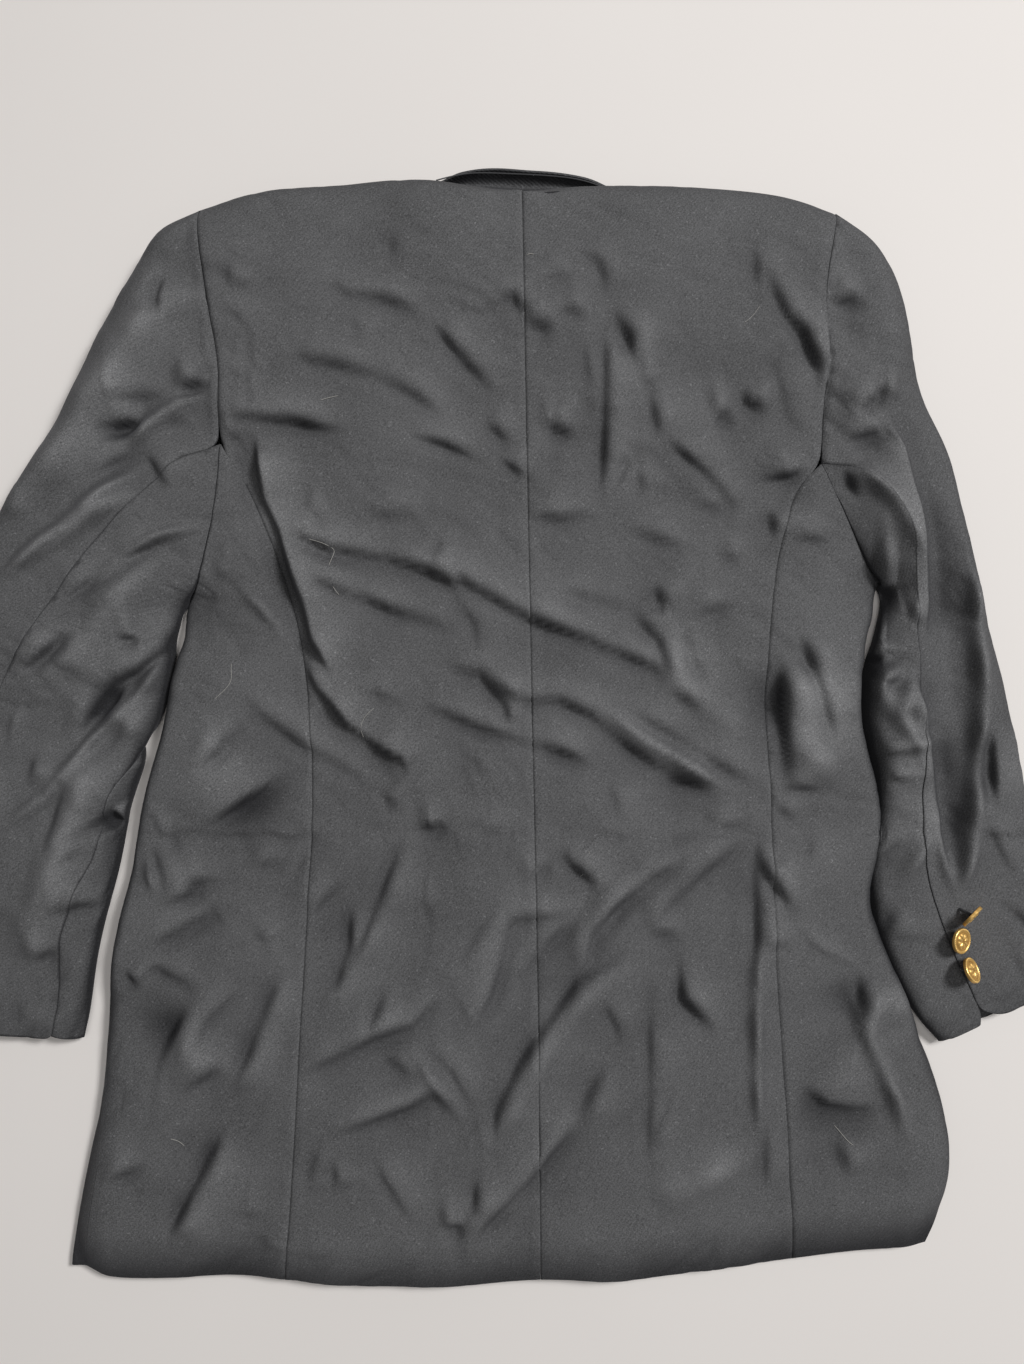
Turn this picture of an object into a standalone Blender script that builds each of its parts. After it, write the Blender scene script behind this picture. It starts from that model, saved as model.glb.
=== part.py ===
# Blazer laid face down with its back up, one cloth body in pieces that meet at their seams.
# Frame: +X right across the back as seen from above, +Y toward the collar, +Z up from the rest plane.
# All sizes are in millimetres until the meshes are made.
import bpy
import numpy as np
from math import pi
from mathutils.geometry import delaunay_2d_cdt

MM = 0.001
WALL = 2.0            # cloth with its fusing and lining, one wall
FLAT_WALL = 1.6       # lapel and collar ends pressed under the fronts
SEAM = 0.36           # opening left at each seam
SIDE_LOW = 4.5        # height of the turn at the side edges
FRONT_LIFT = 2.45     # how far a front rises over what lies under it
LAP = 27.0            # each front passes the centre line by this much
BREAK_Y = 55.0        # where the lapels start to turn
# colour, roughness, metallic
FINISHES = {
    "wool_gabardine": ((0.022, 0.022, 0.024), 0.85, 0.0),
    "gilt_button": ((0.72, 0.47, 0.16), 0.32, 1.0),
}

# x, y of the seams and edges on the garment as it lies
CENTRE = [(6.5, 321.5), (9, 184), (13, -11.5), (17, -207), (19, -396)]
SEAM_LEFT = [(-150.5, -396), (-145, -338.5), (-140, -242.5), (-136.5, -181.5), (-131.5, -103.5),
             (-132, -36.5), (-137.5, 22), (-149, 65.5), (-164, 107), (-174, 130), (-190, 155)]
SEAM_RIGHT = [(186.5, -384), (183.5, -338.5), (179, -266), (172.5, -181.5), (170, -90), (166.5, -12),
              (170, 51.5), (176, 93), (185.5, 125.5), (201.5, 142)]
ARM_LEFT = [(-190, 155), (-191, 184), (-189.5, 202), (-195.5, 237), (-200.5, 275), (-203.5, 300)]
ARM_RIGHT = [(201.5, 142), (202, 170), (204.5, 205), (202.5, 240.5), (204, 270), (210, 296)]
UNDERARM_LEFT = [(-190, 155), (-192.5, 116.5), (-201, 88), (-209, 62), (-215, 50)]
UNDERARM_RIGHT = [(201.5, 142), (208.5, 128.5), (220, 103.5), (232, 80.5), (243.5, 62)]
FRONT_ARM_LEFT = [(-188, 66), (-178, 100), (-174, 150), (-180, 210), (-192, 262), (-203.5, 300)]
FRONT_ARM_RIGHT = [(217, 76), (201, 102), (193, 150), (195, 210), (202, 258), (210, 296)]
TOP_LINE = [(-225, 303), (-209, 309), (-175.5, 320), (-118, 328), (-53, 333), (-23.5, 328.5), (8, 326),
            (37, 328.5), (70, 329), (127.5, 326), (176, 320), (204, 311.5), (214.5, 306), (230, 300)]
NECK_X = (-51.5, 69.0)
EDGE_LEFT = [(-228, 200), (-226, 158.5), (-220, 85), (-215, 50), (-216, 38), (-220, 20), (-223.5, 5),
             (-227, -18), (-235, -39), (-246, -82), (-251.5, -99), (-251.5, -117.5), (-266.5, -180.5),
             (-269, -208),
             (-269, -235), (-277.5, -292), (-289.5, -355.5), (-294, -386.5)]
EDGE_RIGHT = [(260, 200), (256, 145), (248, 85), (243.5, 62), (233, 22.5), (227, -12), (232, -35.5),
              (241.5, -82), (239, -112.5), (232, -142.5), (246, -182.5), (259, -215), (275, -242.5),
              (288, -286), (292, -319.5), (284, -357), (275.5, -375.5)]
HEM = [(-293, -386), (-283, -390), (-267.5, -397), (-246, -398), (-167, -397), (-114.5, -403),
       (-36.5, -406), (20, -403), (76.5, -402), (137.5, -392.5), (189.5, -385),
       (225, -380), (263.5, -378), (275.5, -375.5)]
# side seam: y, and how far round the side edge it lies (below zero on the upper side)
SIDE_SEAM_LEFT = [(-389, -23), (-320, -22), (-285, -16), (-255, -9), (-225, -3),
                  (-190, 2.5), (-160, 8), (-120, 19), (-90, 27),
                  (-20, 32), (66, 34)]
SIDE_SEAM_RIGHT = [(-377, 32), (-240, 34), (-90, 33), (76, 30)]

# distance from the centre line, roll of the shoulder, height of the turn at the shoulder
SHOULDER = [(0, 9, 9.0), (50, 13, 10.0), (90, 26, 13.0), (225, 30, 14.5)]
# y, roll of the left edge, roll of the right edge
EDGE_ROLL = [(-400, 24, 17), (-290, 24, 17), (-235, 14, 13), (-180, 8, 9), (-40, 8, 8), (62, 8, 9), (200, 9, 9)]
# y, height along the middle, height out at the shoulder blades and hips
BACK_HEIGHT = [(-410, 18, 17), (-300, 19.5, 18), (-150, 19, 18), (0, 20, 19), (110, 21.5, 22), (200, 24, 27),
               (270, 26, 32), (340, 26, 33)]
HEM_LOW = 9.0         # top of the cloth at the hem edge
HEM_TURN = 36.0       # how far in the hem turn reaches

# folds of the back and sides: x, y at each end, bend, half width, height (below zero for a trough)
BODY_FOLDS = [
    (-204, 70, -222, 34, 0, 22, -9.0),
    (230, 84, 250, 44, 0, 22, -9.0),
    (-150, 150, -138, 30, -4, 11, -6.5),
    (-138, 95, -40, 62, 3, 7, -3.2),
    (-118, 7, -70, -54, -8, 9, -5.5),
    (-158, -10, -75, -80, 4, 8, -2.6),
    (-165, -35, -225, -88, 4, 8, -4.0),
    (-70, -95, 15, -96, 3, 8, -3.4),
    (-190, -105, -95, -60, -3, 11, 2.6),
    (-158, -172, -195, -268, -5, 9, -3.6),
    (-190, -272, -50, -205, -10, 8, -4.2),
    (-70, -240, -28, -290, 2, 8, 3.0),
    (-52, -362, 60, -262, -6, 9, -4.4),
    (-26, -355, 32, -220, 5, 9, 2.8),
    (20, -255, 150, -90, 8, 10, 3.4),
    (-15, -250, 45, -165, 4, 9, -3.0),
    (-230, -375, -175, -275, -4, 9, -3.6),
    (-255, -300, -180, -210, 4, 10, 2.4),
    (100, -15, 160, -68, -4, 10, 3.4),
    (15, -12, 105, -70, 4, 9, -3.0),
    (14, 55, 108, -4, 4, 9, -2.4),
    (185, 130, 160, 134, -3, 8, -4.0),
    (182, 45, 205, -68, 4, 9, 3.6),
    (195, 25, 215, -60, 5, 8, -4.2),
    (168, -98, 166, -300, -3, 10, 3.4),
    (188, -265, 232, -285, 4, 9, -3.4),
    (222, -190, 262, -310, 4, 9, 3.2),
    (-120, 240, 5, 160, 10, 9, -2.0),
    (-185, 172, -100, 165, 0, 8, -3.0),
    (62, 240, 95, 170, 5, 8, -1.8),
    (168, 262, 203, 195, 5, 8, -2.8),
]
# left sleeve: share of length, height of its top
SLEEVE_HEIGHT_LEFT = [(0, 27), (0.12, 29), (0.3, 25), (0.5, 22), (0.7, 18), (0.9, 16), (1, 15)]
SLEEVE_HEIGHT_RIGHT = [(0, 27), (0.12, 30), (0.3, 29), (0.5, 26), (0.7, 21), (0.9, 16), (1, 14.5)]
CUFF_LOW = 8.5        # height of the cloth at the cuff, less its turn
SLEEVE_LOW = 5.5      # height of the turn at the sleeve edges
SLEEVE_WAY = {-1: (-0.31, -0.95074), 1: (0.25, -0.96825)}   # direction each sleeve lies in
# where the sleeve turns back under the arm: reach of the extra room, the room, thinning and tilt of the rim
CROTCH_REACH = 14.0
CROTCH_ROOM = 1.3
CROTCH_THIN = 0.4
CROTCH_TILT = 2.0
RING_BLEND = 14.0     # how far in from the armhole the wall follows the body's own thickness
# net of triangles on a sleeve: opening of its slit, least and most room at the border, row steps, columns
SLIT = 0.4
NET_ROOM = (1.6, 5.0)
UNDER_STEPS = {-1: (5.5, 23.0), 1: (6.0, 23.0)}
TOP_STEPS = (24.0, 24.0)
UNDER_COLUMNS = [-120, -100, -82, -66, -53, -42, -33, -25, -18.5, -13, -8.5, -4.2, 0, 2.8, 5.6, 8.4, 18, 38,
                 62, 88]
TOP_COLUMNS = [-92, -68, -46, -28, -14, -8.4, -5.6, -2.8, 0, 4.5, 9, 14, 20, 28, 38, 49, 60, 71, 82, 93, 105, 118]
INNER_COLUMNS = [-24, -16, -10, -5, 0, 2.8, 5.6, 8.4]
SLEEVE_LEFT_OUT = [(-211, 312), (-221, 310), (-236, 297), (-252, 270), (-262, 254.5), (-278, 224), (-304, 172),
                   (-320, 142), (-341, 112.5), (-368, 71.5), (-391, 21.5), (-404.5, -38.5), (-411, -118.5),
                   (-414.5, -232)]
SLEEVE_LEFT_IN = [(-220.5, 54), (-223, 38), (-226, 18), (-231, -8), (-239.5, -39), (-246, -62),
                  (-256, -85.5), (-258.5, -111.5), (-264.5, -135), (-277, -183), (-280, -212), (-285.5, -237)]
SLEEVE_RIGHT_OUT = [(217, 310), (236, 296), (254.5, 270.5), (263, 235), (268.5, 195), (290, 153.5), (300, 109.5),
                    (312.5, 54), (329, -12.5), (341, -75.5), (355, -118.5), (388.5, -192)]
SLEEVE_RIGHT_IN = [(247.5, 66), (246, 44), (240, 21.5), (235, -8), (238.5, -37.5), (248, -75.5),
                   (246.5, -98.5), (241, -132), (250, -172), (263.5, -205), (277, -230.5), (285, -240.5)]
SLEEVE_FOLDS_LEFT = [
    (-217, 62, -228, 20, 0, 22, -9.0),
    (-236, 272, -236, 248, 0, 9, -6.0),
    (-236, 256, -330, 120, 6, 10, 4.0),
    (-196, 190, -272, 178, 4, 8, -3.6),
    (-196, 182, -280, 152, 3, 9, 3.6),
    (-225, 172, -282, 178, 0, 9, -4.5),
    (-215, 118, -340, 62, -8, 10, 4.2),
    (-205, 100, -300, 8, -8, 11, 4.4),
    (-230, 30, -320, -70, 8, 13, 5.0),
    (-244, 8, -282, -42, 5, 11, -9.0),
    (-240, -5, -300, -95, 8, 11, 4.0),
    (-268, -40, -300, -170, 6, 10, 3.4),
    (-255, -142, -300, -148, 0, 8, -4.0),
]
SLEEVE_FOLDS_RIGHT = [
    (248, 78, 243, 40, 0, 20, -12.0),
    (258, 205, 283, 120, 3, 12, -9.0),
    (276, 110, 285, -20, 4, 12, -12.0),
    (288, -20, 284, -130, -4, 11, -11.0),
    (262, 40, 250, 45, 0, 10, -4.0),
    (232, 22, 262, 18, 0, 8, -5.0),
    (236, -72, 248, -74, 0, 9, -4.5),
    (238, -118, 266, -100, -3, 8, -5.0),
    (262, 12, 280, -90, 10, 10, 4.5),
    (308, 26, 304, -125, 6, 9, 4.5),
    (205, 165, 255, 160, 3, 9, -4.5),
    (216, 150, 270, 62, 8, 12, 3.0),
    (322, -40, 330, -135, 6, 10, -4.5),
]
# lengthwise sleeve seams: x, y, then 0 on top, 1 on the underside, 2 on top again past the inner edge
HIND_SEAM = {
    -1: [(-213, 147, 0), (-236, 127, 0), (-258, 106, 0), (-283, 79, 0), (-306, 43, 0), (-325, 16, 0), (-342, -20, 0),
         (-362, -90, 0), (-378, -170, 0), (-385, -233.5, 0)],
    1: [(221, 140, 0), (239, 129, 0), (252, 110, 0), (260, 84, 0), (264, 44, 0), (266, -12, 0), (269, -57, 0),
        (269, -96, 0), (272, -122, 0), (283, -161, 0), (309, -217, 0)],
}
INSEAM = {
    -1: [(-193, 96, 1), (-210, 100, 1), (-230, 82, 1), (-241, 50, 1), (-246, 15, 1), (-249, -22, 1), (-252, -58, 2),
         (-268, -95, 2), (-283, -132, 2), (-298, -176, 2), (-304, -235, 2)],
    1: [(221, 104, 1), (240, 100, 1), (256, 78, 1), (265, 44, 1), (268, 10, 1), (269, -30, 1), (270, -72, 1),
        (268, -105, 1), (266, -135, 1), (276, -175, 1), (298, -224, 1)],
}

# lapel outlines: x, y
LAPEL_LEFT = [(-50, 306), (-80, 266), (-118, 250), (-112, 226), (-60, 176), (6, 148)]
LAPEL_RIGHT = [(67, 303), (97, 264), (134, 248), (128, 222), (76, 150), (-6, 58)]
# collar stations: neck seam x, y, z then fold x, y, z then outer edge x, y, z
COLLAR = [
    (-84, 274, 1.6, -95, 281, 1.6, -117, 292, 1.6),
    (-71, 290, 1.6, -82, 299, 1.6, -100, 312, 1.6),
    (-60, 304, 1.6, -68, 313, 1.6, -80, 324, 1.6),
    (-52, 316, 1.7, -56, 323, 1.7, -62, 331, 1.9),
    (-46, 324.5, 5.5, -46, 329, 1.8, -47, 334, 4.0),
    (-37, 330.6, 8.3, -37, 333, 1.8, -38, 337, 8.0),
    (-22, 328.9, 8.6, -22, 333.5, 1.8, -21, 340, 9.0),
    (-7, 327.3, 8.5, -7, 333, 1.8, -6, 340, 9.5),
    (9, 326.4, 8.5, 9, 332, 1.8, 10, 338.6, 9.5),
    (25, 327.4, 8.5, 25, 332, 1.8, 25, 338, 9.0),
    (41, 329.2, 8.6, 41, 331.5, 1.8, 41, 336, 8.5),
    (54, 328.6, 8.0, 54, 330.8, 1.8, 54, 333.6, 7.0),
    (63, 321, 5.0, 64, 325, 1.8, 64, 330, 4.0),
    (69, 312, 1.7, 73, 319, 1.7, 79, 327, 1.9),
    (77, 300, 1.6, 85, 309, 1.6, 97, 320, 1.6),
    (88, 287, 1.6, 99, 296, 1.6, 117, 309, 1.6),
    (101, 272, 1.6, 112, 279, 1.6, 134, 290, 1.6),
]

# cuff buttons: x, y, z of the disc, the way its face looks, then the foot of its thread stem on the cloth
BUTTON_R = 8.0
BUTTON_T = 2.4
BUTTONS = {
    "right_cuff_button_1": (298.5, -152.0, 25.2, 0.65, -0.63, 0.43, 294.6, -149.2, 17.0),
    "right_cuff_button_2": (292.5, -168.5, 23.2, 0.51, -0.02, 0.86, 289.4, -167.4, 16.6),
    "right_cuff_button_3": (299.0, -187.5, 23.6, 0.64, 0.40, 0.66, 295.2, -188.2, 16.1),
    "left_cuff_button_1": (-374.0, -168.0, 20.6, -0.10, 0.0, 0.99, -373.6, -168.0, 16.8),
    "left_cuff_button_2": (-376.0, -187.0, 20.2, -0.10, 0.05, 0.99, -375.6, -187.2, 16.4),
    "left_cuff_button_3": (-378.0, -206.0, 19.8, -0.10, -0.05, 0.99, -377.6, -205.8, 15.95),
}

SEAM_ROWS = np.concatenate([[0, 0.012, 0.032, 0.062], np.linspace(0.1, 0.95, 17), [0.976, 1.0]])
ARM_ROWS = np.array([0, 0.14, 0.28, 0.42, 0.55, 0.67, 0.77, 0.86, 0.93, 1.0])
FRONT_ARM_ROWS = np.array([0, 0.07, 0.15, 0.3, 0.45, 0.6, 0.74, 0.85, 0.91, 0.96, 1.0])
SIDE_COLS = 13
FRONT_COLS = 10
SLEEVE_ROWS = np.concatenate([[0, 0.04, 0.075], np.linspace(0.11, 0.9, 15), [0.93, 0.96, 0.98, 1.0]])


def smooth_line(points):
    """A smooth line through the points, asked for by share of its length."""
    pts = np.array(points, float)
    t = np.concatenate([[0], np.cumsum(np.linalg.norm(np.diff(pts, axis=0), axis=1))])
    slope = np.empty_like(pts)
    slope[1:-1] = (pts[2:] - pts[:-2]) / (t[2:] - t[:-2])[:, None]
    slope[0] = (pts[1] - pts[0]) / (t[1] - t[0])
    slope[-1] = (pts[-1] - pts[-2]) / (t[-1] - t[-2])
    fine = np.linspace(0, t[-1], 600)
    k = np.clip(np.searchsorted(t, fine, side="right") - 1, 0, len(t) - 2)
    h = (t[k + 1] - t[k])[:, None]
    s = ((fine - t[k]) / (t[k + 1] - t[k]))[:, None]
    out = ((2 * s**3 - 3 * s**2 + 1) * pts[k] + (s**3 - 2 * s**2 + s) * h * slope[k]
           + (-2 * s**3 + 3 * s**2) * pts[k + 1] + (s**3 - s**2) * h * slope[k + 1])
    run = np.concatenate([[0], np.cumsum(np.linalg.norm(np.diff(out, axis=0), axis=1))])
    run /= run[-1]

    def at(share):
        share = np.asarray(share, float)
        return np.stack([np.interp(share, run, out[:, c]) for c in range(out.shape[1])], axis=-1)
    return at


def column(table, key, value, by=0):
    """One column of a table read at any place of another."""
    rows = sorted(table, key=lambda r: r[by])
    return np.interp(key, [r[by] for r in rows], [r[value] for r in rows])


def sampled(points, key, value):
    line = smooth_line(points)(np.linspace(0, 1, 200))
    order = np.argsort(line[:, key])
    return line[order, key], line[order, value]


TOP_XY = sampled(TOP_LINE, 0, 1)
HEM_XY = sampled(HEM, 0, 1)
EDGE_YX = {-1: sampled(EDGE_LEFT, 1, 0), 1: sampled(EDGE_RIGHT, 1, 0)}


def folds(table, x, y):
    total = np.zeros_like(x)
    for x0, y0, x1, y1, bend, width, height in table:
        length = np.hypot(x1 - x0, y1 - y0)
        ux, uy = (x1 - x0) / length, (y1 - y0) / length
        along = ((x - x0) * ux + (y - y0) * uy) / length
        inside = np.clip(along, 0, 1)
        across = -(x - x0) * uy + (y - y0) * ux - 4 * bend * inside * (1 - inside)
        beyond = (along - inside) * length
        swell = 0.35 + 0.65 * np.sin(pi * inside)
        total += height * swell * np.exp(-(across / width) ** 2 - (beyond / (1.2 * width)) ** 2)
    return total


def back_height(x, y):
    """Height of the top of the cloth over the rest plane."""
    out = np.clip(np.abs(x - 8) / 175, 0, 1) ** 1.5
    mid = column(BACK_HEIGHT, y, 1)
    side = column(BACK_HEIGHT, y, 2)
    flat = mid * (1 - out) + side * out + folds(BODY_FOLDS, x, y)
    up = np.clip((y - np.interp(x, *HEM_XY)) / HEM_TURN, 0, 1)
    rise = np.sqrt(1 - (1 - up) ** 2)
    return HEM_LOW + (np.maximum(flat, HEM_LOW + 1) - HEM_LOW) * rise


def edge_at(side, y):
    return side * np.interp(y, *EDGE_YX[side]), column(EDGE_ROLL, y, 1 if side < 0 else 2)


def outline_places(outline, x, y):
    """Whether places lie inside a closed outline, and how far from it."""
    pts = np.array(outline, float)
    best = np.full(np.shape(x), 1e9)
    inside = np.zeros(np.shape(x), bool)
    for a, b in zip(pts, np.roll(pts, -1, axis=0)):
        d = b - a
        t = np.clip(((x - a[0]) * d[0] + (y - a[1]) * d[1]) / (d @ d), 0, 1)
        best = np.minimum(best, np.hypot(x - a[0] - t * d[0], y - a[1] - t * d[1]))
        crosses = ((a[1] > y) != (b[1] > y)) & (x < (b[0] - a[0]) * (y - a[1]) / (b[1] - a[1] + 1e-12) + a[0])
        inside ^= crosses
    return inside, best


def outline_distance(outline, x, y):
    """Distance outside a closed outline, nought inside it."""
    inside, best = outline_places(outline, x, y)
    return np.where(inside, 0, best)


def soft_step(value, start, end):
    t = np.clip((value - start) / (end - start), 0, 1)
    return t * t * (3 - 2 * t)


def collar_outline(side):
    rows = COLLAR[:5] if side < 0 else COLLAR[-5:]
    return [r[0:2] for r in rows] + [r[6:8] for r in reversed(rows)]


def front_lift(side, x, y):
    """How far a front is raised by the lapel, the collar end and the other front."""
    def over_lapel(s, start, end):
        near = np.minimum(outline_distance(LAPEL_LEFT if s < 0 else LAPEL_RIGHT, x, y),
                          outline_distance(collar_outline(s), x, y))
        return FRONT_LIFT * (1 - soft_step(near, start, end))
    if side > 0:
        return over_lapel(1, 14, 43)
    lap = soft_step(x, -95, -38) * (1 - soft_step(y, 175, 235))
    return np.maximum(over_lapel(-1, 18, 56), lap * (FRONT_LIFT + 0.1 + 1.05 * over_lapel(1, 26, 66)))


def body_point(side, p, q, under):
    """Place of a point of the body cloth: p runs out round the side edge, q up round the shoulder."""
    y = np.clip(q, -420, 345)
    for _ in range(3):
        edge, roll = edge_at(side, y)
        a = p - (edge - roll)
        top_len = roll * pi / 2
        low_len = SIDE_LOW * pi / 2
        turn = np.clip(a / roll, 0, pi / 2)
        turn_low = np.clip((a - top_len) / SIDE_LOW, 0, pi / 2)
        rest = np.maximum(a - top_len - low_len, 0)
        on_top = a <= top_len
        out = np.where(a <= 0, p, np.where(on_top, edge - roll + roll * np.sin(turn),
                                           edge - SIDE_LOW + SIDE_LOW * np.cos(turn_low) - rest))
        x = side * out
        top = np.interp(x, *TOP_XY)
        far = np.abs(x - 8)
        roll_y = column(SHOULDER, far, 1)
        low_y = column(SHOULDER, far, 2)
        if under:
            turn_y = np.clip((q - (top - low_y)) / low_y, 0, pi / 2)
            y = np.where(q <= top - low_y, q, top - low_y + low_y * np.sin(turn_y))
        else:
            turn_y = np.clip((q - (top - roll_y)) / roll_y, 0, pi / 2)
            y = np.where(q <= top - roll_y, q, top - roll_y + roll_y * np.sin(turn_y))
    height = back_height(x, y)
    share = np.where(on_top, np.cos(turn), 0)
    z = height * share + np.where(on_top, SIDE_LOW * (1 - share), SIDE_LOW * (1 - np.sin(turn_low)))
    if under:
        z = z + low_y * (1 - np.cos(turn_y))
        z = z + front_lift(side, x, y) * np.where(on_top, 0, np.sin(turn_low)) * np.cos(turn_y)
    else:
        share_y = np.cos(turn_y)
        z = z * share_y + low_y * (1 - share_y)
    return np.stack([x, y, z], axis=-1)


def shoulder_end(x):
    """How far q runs to reach the turn of the shoulder, over and under."""
    top = np.interp(x, *TOP_XY)
    far = np.abs(x - 8)
    roll = column(SHOULDER, far, 1)
    low = column(SHOULDER, far, 2)
    return top - roll + roll * pi / 2, top - low + low * pi / 2


def to_chart(side, points):
    """x, y (and the underside flag) turned into p, q."""
    out = []
    for row in points:
        x, y = row[0], row[1]
        under = len(row) > 2 and row[2]
        edge, roll = edge_at(side, y)
        o = side * x
        if under:
            turn = roll * pi / 2 + SIDE_LOW * pi / 2
            p = edge - roll + turn + (edge - SIDE_LOW - o)
            if p < edge - roll + turn:
                back = np.arccos(np.clip((o - edge + SIDE_LOW) / SIDE_LOW, 0, 1))
                p = edge - roll + turn - SIDE_LOW * (pi / 2 - back)
        elif o > edge - roll:
            p = edge - roll + roll * np.arcsin(min((o - edge + roll) / roll, 1))
        else:
            p = o
        out.append((float(p), float(y)))
    return out


def charted(side, points, under=0):
    """A smooth line on the garment turned into chart places, still asked for by share of its length."""
    line = smooth_line([p[:2] for p in points])(np.linspace(0, 1, 90))
    return to_chart(side, [(x, y, under) for x, y in line])


def around_edge(side, table):
    """Chart places of a seam given by how far round the side edge it lies."""
    out = []
    for y, past in smooth_line(table)(np.linspace(0, 1, 90)):
        edge, roll = edge_at(side, y)
        out.append((float(edge - roll + roll * pi / 2 + past), float(y)))
    return out


def unit(v):
    return v / np.maximum(np.linalg.norm(v, axis=-1, keepdims=True), 1e-9)


def inset(grid, sides):
    """Move the named borders of a chart grid inward by half a seam opening."""
    grid = grid.copy()
    moves = np.zeros_like(grid)
    for name in sides:
        if name in ("start", "end"):
            k, inner = (0, 1) if name == "start" else (-1, -2)
            line, inward = grid[k], grid[inner] - grid[k]
            run = np.gradient(line, axis=0)
            normal = unit(np.stack([-run[:, 1], run[:, 0]], axis=-1))
            normal *= np.sign(np.sum(normal * inward, axis=-1, keepdims=True) + 1e-12)
            moves[k] += normal * SEAM / 2
        else:
            k, inner = (0, 1) if name == "left" else (-1, -2)
            line, inward = grid[:, k], grid[:, inner] - grid[:, k]
            run = np.gradient(line, axis=0)
            normal = unit(np.stack([-run[:, 1], run[:, 0]], axis=-1))
            normal *= np.sign(np.sum(normal * inward, axis=-1, keepdims=True) + 1e-12)
            moves[:, k] += normal * SEAM / 2
    return grid + moves


def patch(bottom, top, left, right, u, v):
    """Fill four border lines; u and v are the shares of the border points."""
    uu, vv = u[None, :, None], v[:, None, None]
    return ((1 - vv) * bottom[None] + vv * top[None] + (1 - uu) * left[:, None] + uu * right[:, None]
            - ((1 - uu) * (1 - vv) * bottom[0] + uu * (1 - vv) * bottom[-1]
               + (1 - uu) * vv * top[0] + uu * vv * top[-1]))


def shares(line):
    run = np.concatenate([[0], np.cumsum(np.linalg.norm(np.diff(line, axis=0), axis=1))])
    return run / run[-1]


def rim_faces(verts, ids, half):
    """Close the edge of a wall; both sides of a seam are cut along the same diagonals."""
    faces = []
    rank = verts[:, 1] + 0.37 * verts[:, 0]
    for a, b in zip(ids, ids[1:] + ids[:1]):
        if rank[a] > rank[b]:
            faces += [(a, half + a, b), (b, half + a, half + b)]
        else:
            faces += [(a, half + a, half + b), (a, half + b, b)]
    return faces


def wall_object(name, outer, inner):
    """A closed wall between two grids of the same shape."""
    rows, cols = outer.shape[:2]
    verts = np.concatenate([outer.reshape(-1, 3), inner.reshape(-1, 3)]) * MM
    half = rows * cols
    faces = []
    for r in range(rows - 1):
        for c in range(cols - 1):
            a, b = r * cols + c, r * cols + c + 1
            d, e = a + cols, b + cols
            faces += [(a, b, e), (a, e, d), (half + a, half + e, half + b), (half + a, half + d, half + e)]
    rim = ([(0, c) for c in range(cols)] + [(r, cols - 1) for r in range(1, rows)]
           + [(rows - 1, c) for c in range(cols - 2, -1, -1)] + [(r, 0) for r in range(rows - 2, 0, -1)])
    return mesh_object(name, verts, faces + rim_faces(verts, [r * cols + c for r, c in rim], half))


def netted_wall(name, outer, inner, net, border):
    """A closed wall between two faces that share one net of triangles; the border comes first."""
    verts = np.concatenate([outer, inner]) * MM
    half = len(outer)
    faces = [(a, b, c) for a, b, c in net] + [(half + a, half + c, half + b) for a, b, c in net]
    # the rim runs the way the net's own edges do
    pairs = {(t[k], t[(k + 1) % 3]) for t in net for k in range(3)}
    ids = list(range(border)) if (0, 1) in pairs else list(range(border))[::-1]
    return mesh_object(name, verts, faces + rim_faces(verts, ids, half))


def finish_of(name):
    """The material of a piece, made once for each kind of stuff."""
    kind = "gilt_button" if "button" in name else "wool_gabardine"
    if kind in bpy.data.materials:
        return bpy.data.materials[kind]
    material = bpy.data.materials.new(kind)
    material.use_nodes = True
    shader = material.node_tree.nodes["Principled BSDF"]
    colour, roughness, metallic = FINISHES[kind]
    shader.inputs["Base Color"].default_value = (*colour, 1.0)
    shader.inputs["Roughness"].default_value = roughness
    shader.inputs["Metallic"].default_value = metallic
    material.diffuse_color = (*colour, 1.0)
    return material


def mesh_object(name, verts, faces):
    tri = np.array(faces)
    p = np.asarray(verts)
    volume = np.sum(p[tri[:, 0]] * np.cross(p[tri[:, 1]], p[tri[:, 2]]))
    if volume < 0:
        tri = tri[:, ::-1]
    mesh = bpy.data.meshes.new(name)
    mesh.from_pydata([tuple(v) for v in p], [], [tuple(int(i) for i in f) for f in tri])
    mesh.update()
    mesh.materials.append(finish_of(name))
    obj = bpy.data.objects.new(name, mesh)
    bpy.context.scene.collection.objects.link(obj)
    return obj


def chart_normals(side, grid, under):
    step = 0.4
    p, q = grid[..., 0], grid[..., 1]
    dp = body_point(side, p + step, q, under) - body_point(side, p - step, q, under)
    dq = body_point(side, p, q + step, under) - body_point(side, p, q - step, under)
    # the cloth's outer side: up on the back, down on the underside
    return unit(np.cross(dp, dq)) * side


def body_wall(name, side, grid, under):
    outer = body_point(side, grid[..., 0], grid[..., 1], under)
    normals = chart_normals(side, grid, under)
    return wall_object(name, outer, outer - WALL * normals)


def quantile_columns(side, p0, p1, q, count):
    """Column places between two seams, closer together where the cloth turns round the side edge."""
    edge, roll = edge_at(side, q)
    start = edge - roll
    mid = start + roll * pi / 2
    end = mid + SIDE_LOW * pi / 2
    fine = np.linspace(p0, p1, 300)
    weight = 1 / 24 + np.where((fine > start - 3) & (fine < end + 3), 1 / 5.5, 0)
    run = np.concatenate([[0], np.cumsum((weight[1:] + weight[:-1]) / 2 * np.diff(fine))])
    return np.interp(np.linspace(0, run[-1], count), run, fine)


def side_edges(side):
    seam = smooth_line(charted(side, SEAM_LEFT if side < 0 else SEAM_RIGHT))(SEAM_ROWS)
    low = smooth_line(around_edge(side, SIDE_SEAM_LEFT if side < 0 else SIDE_SEAM_RIGHT))(SEAM_ROWS)
    return seam, low


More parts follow.
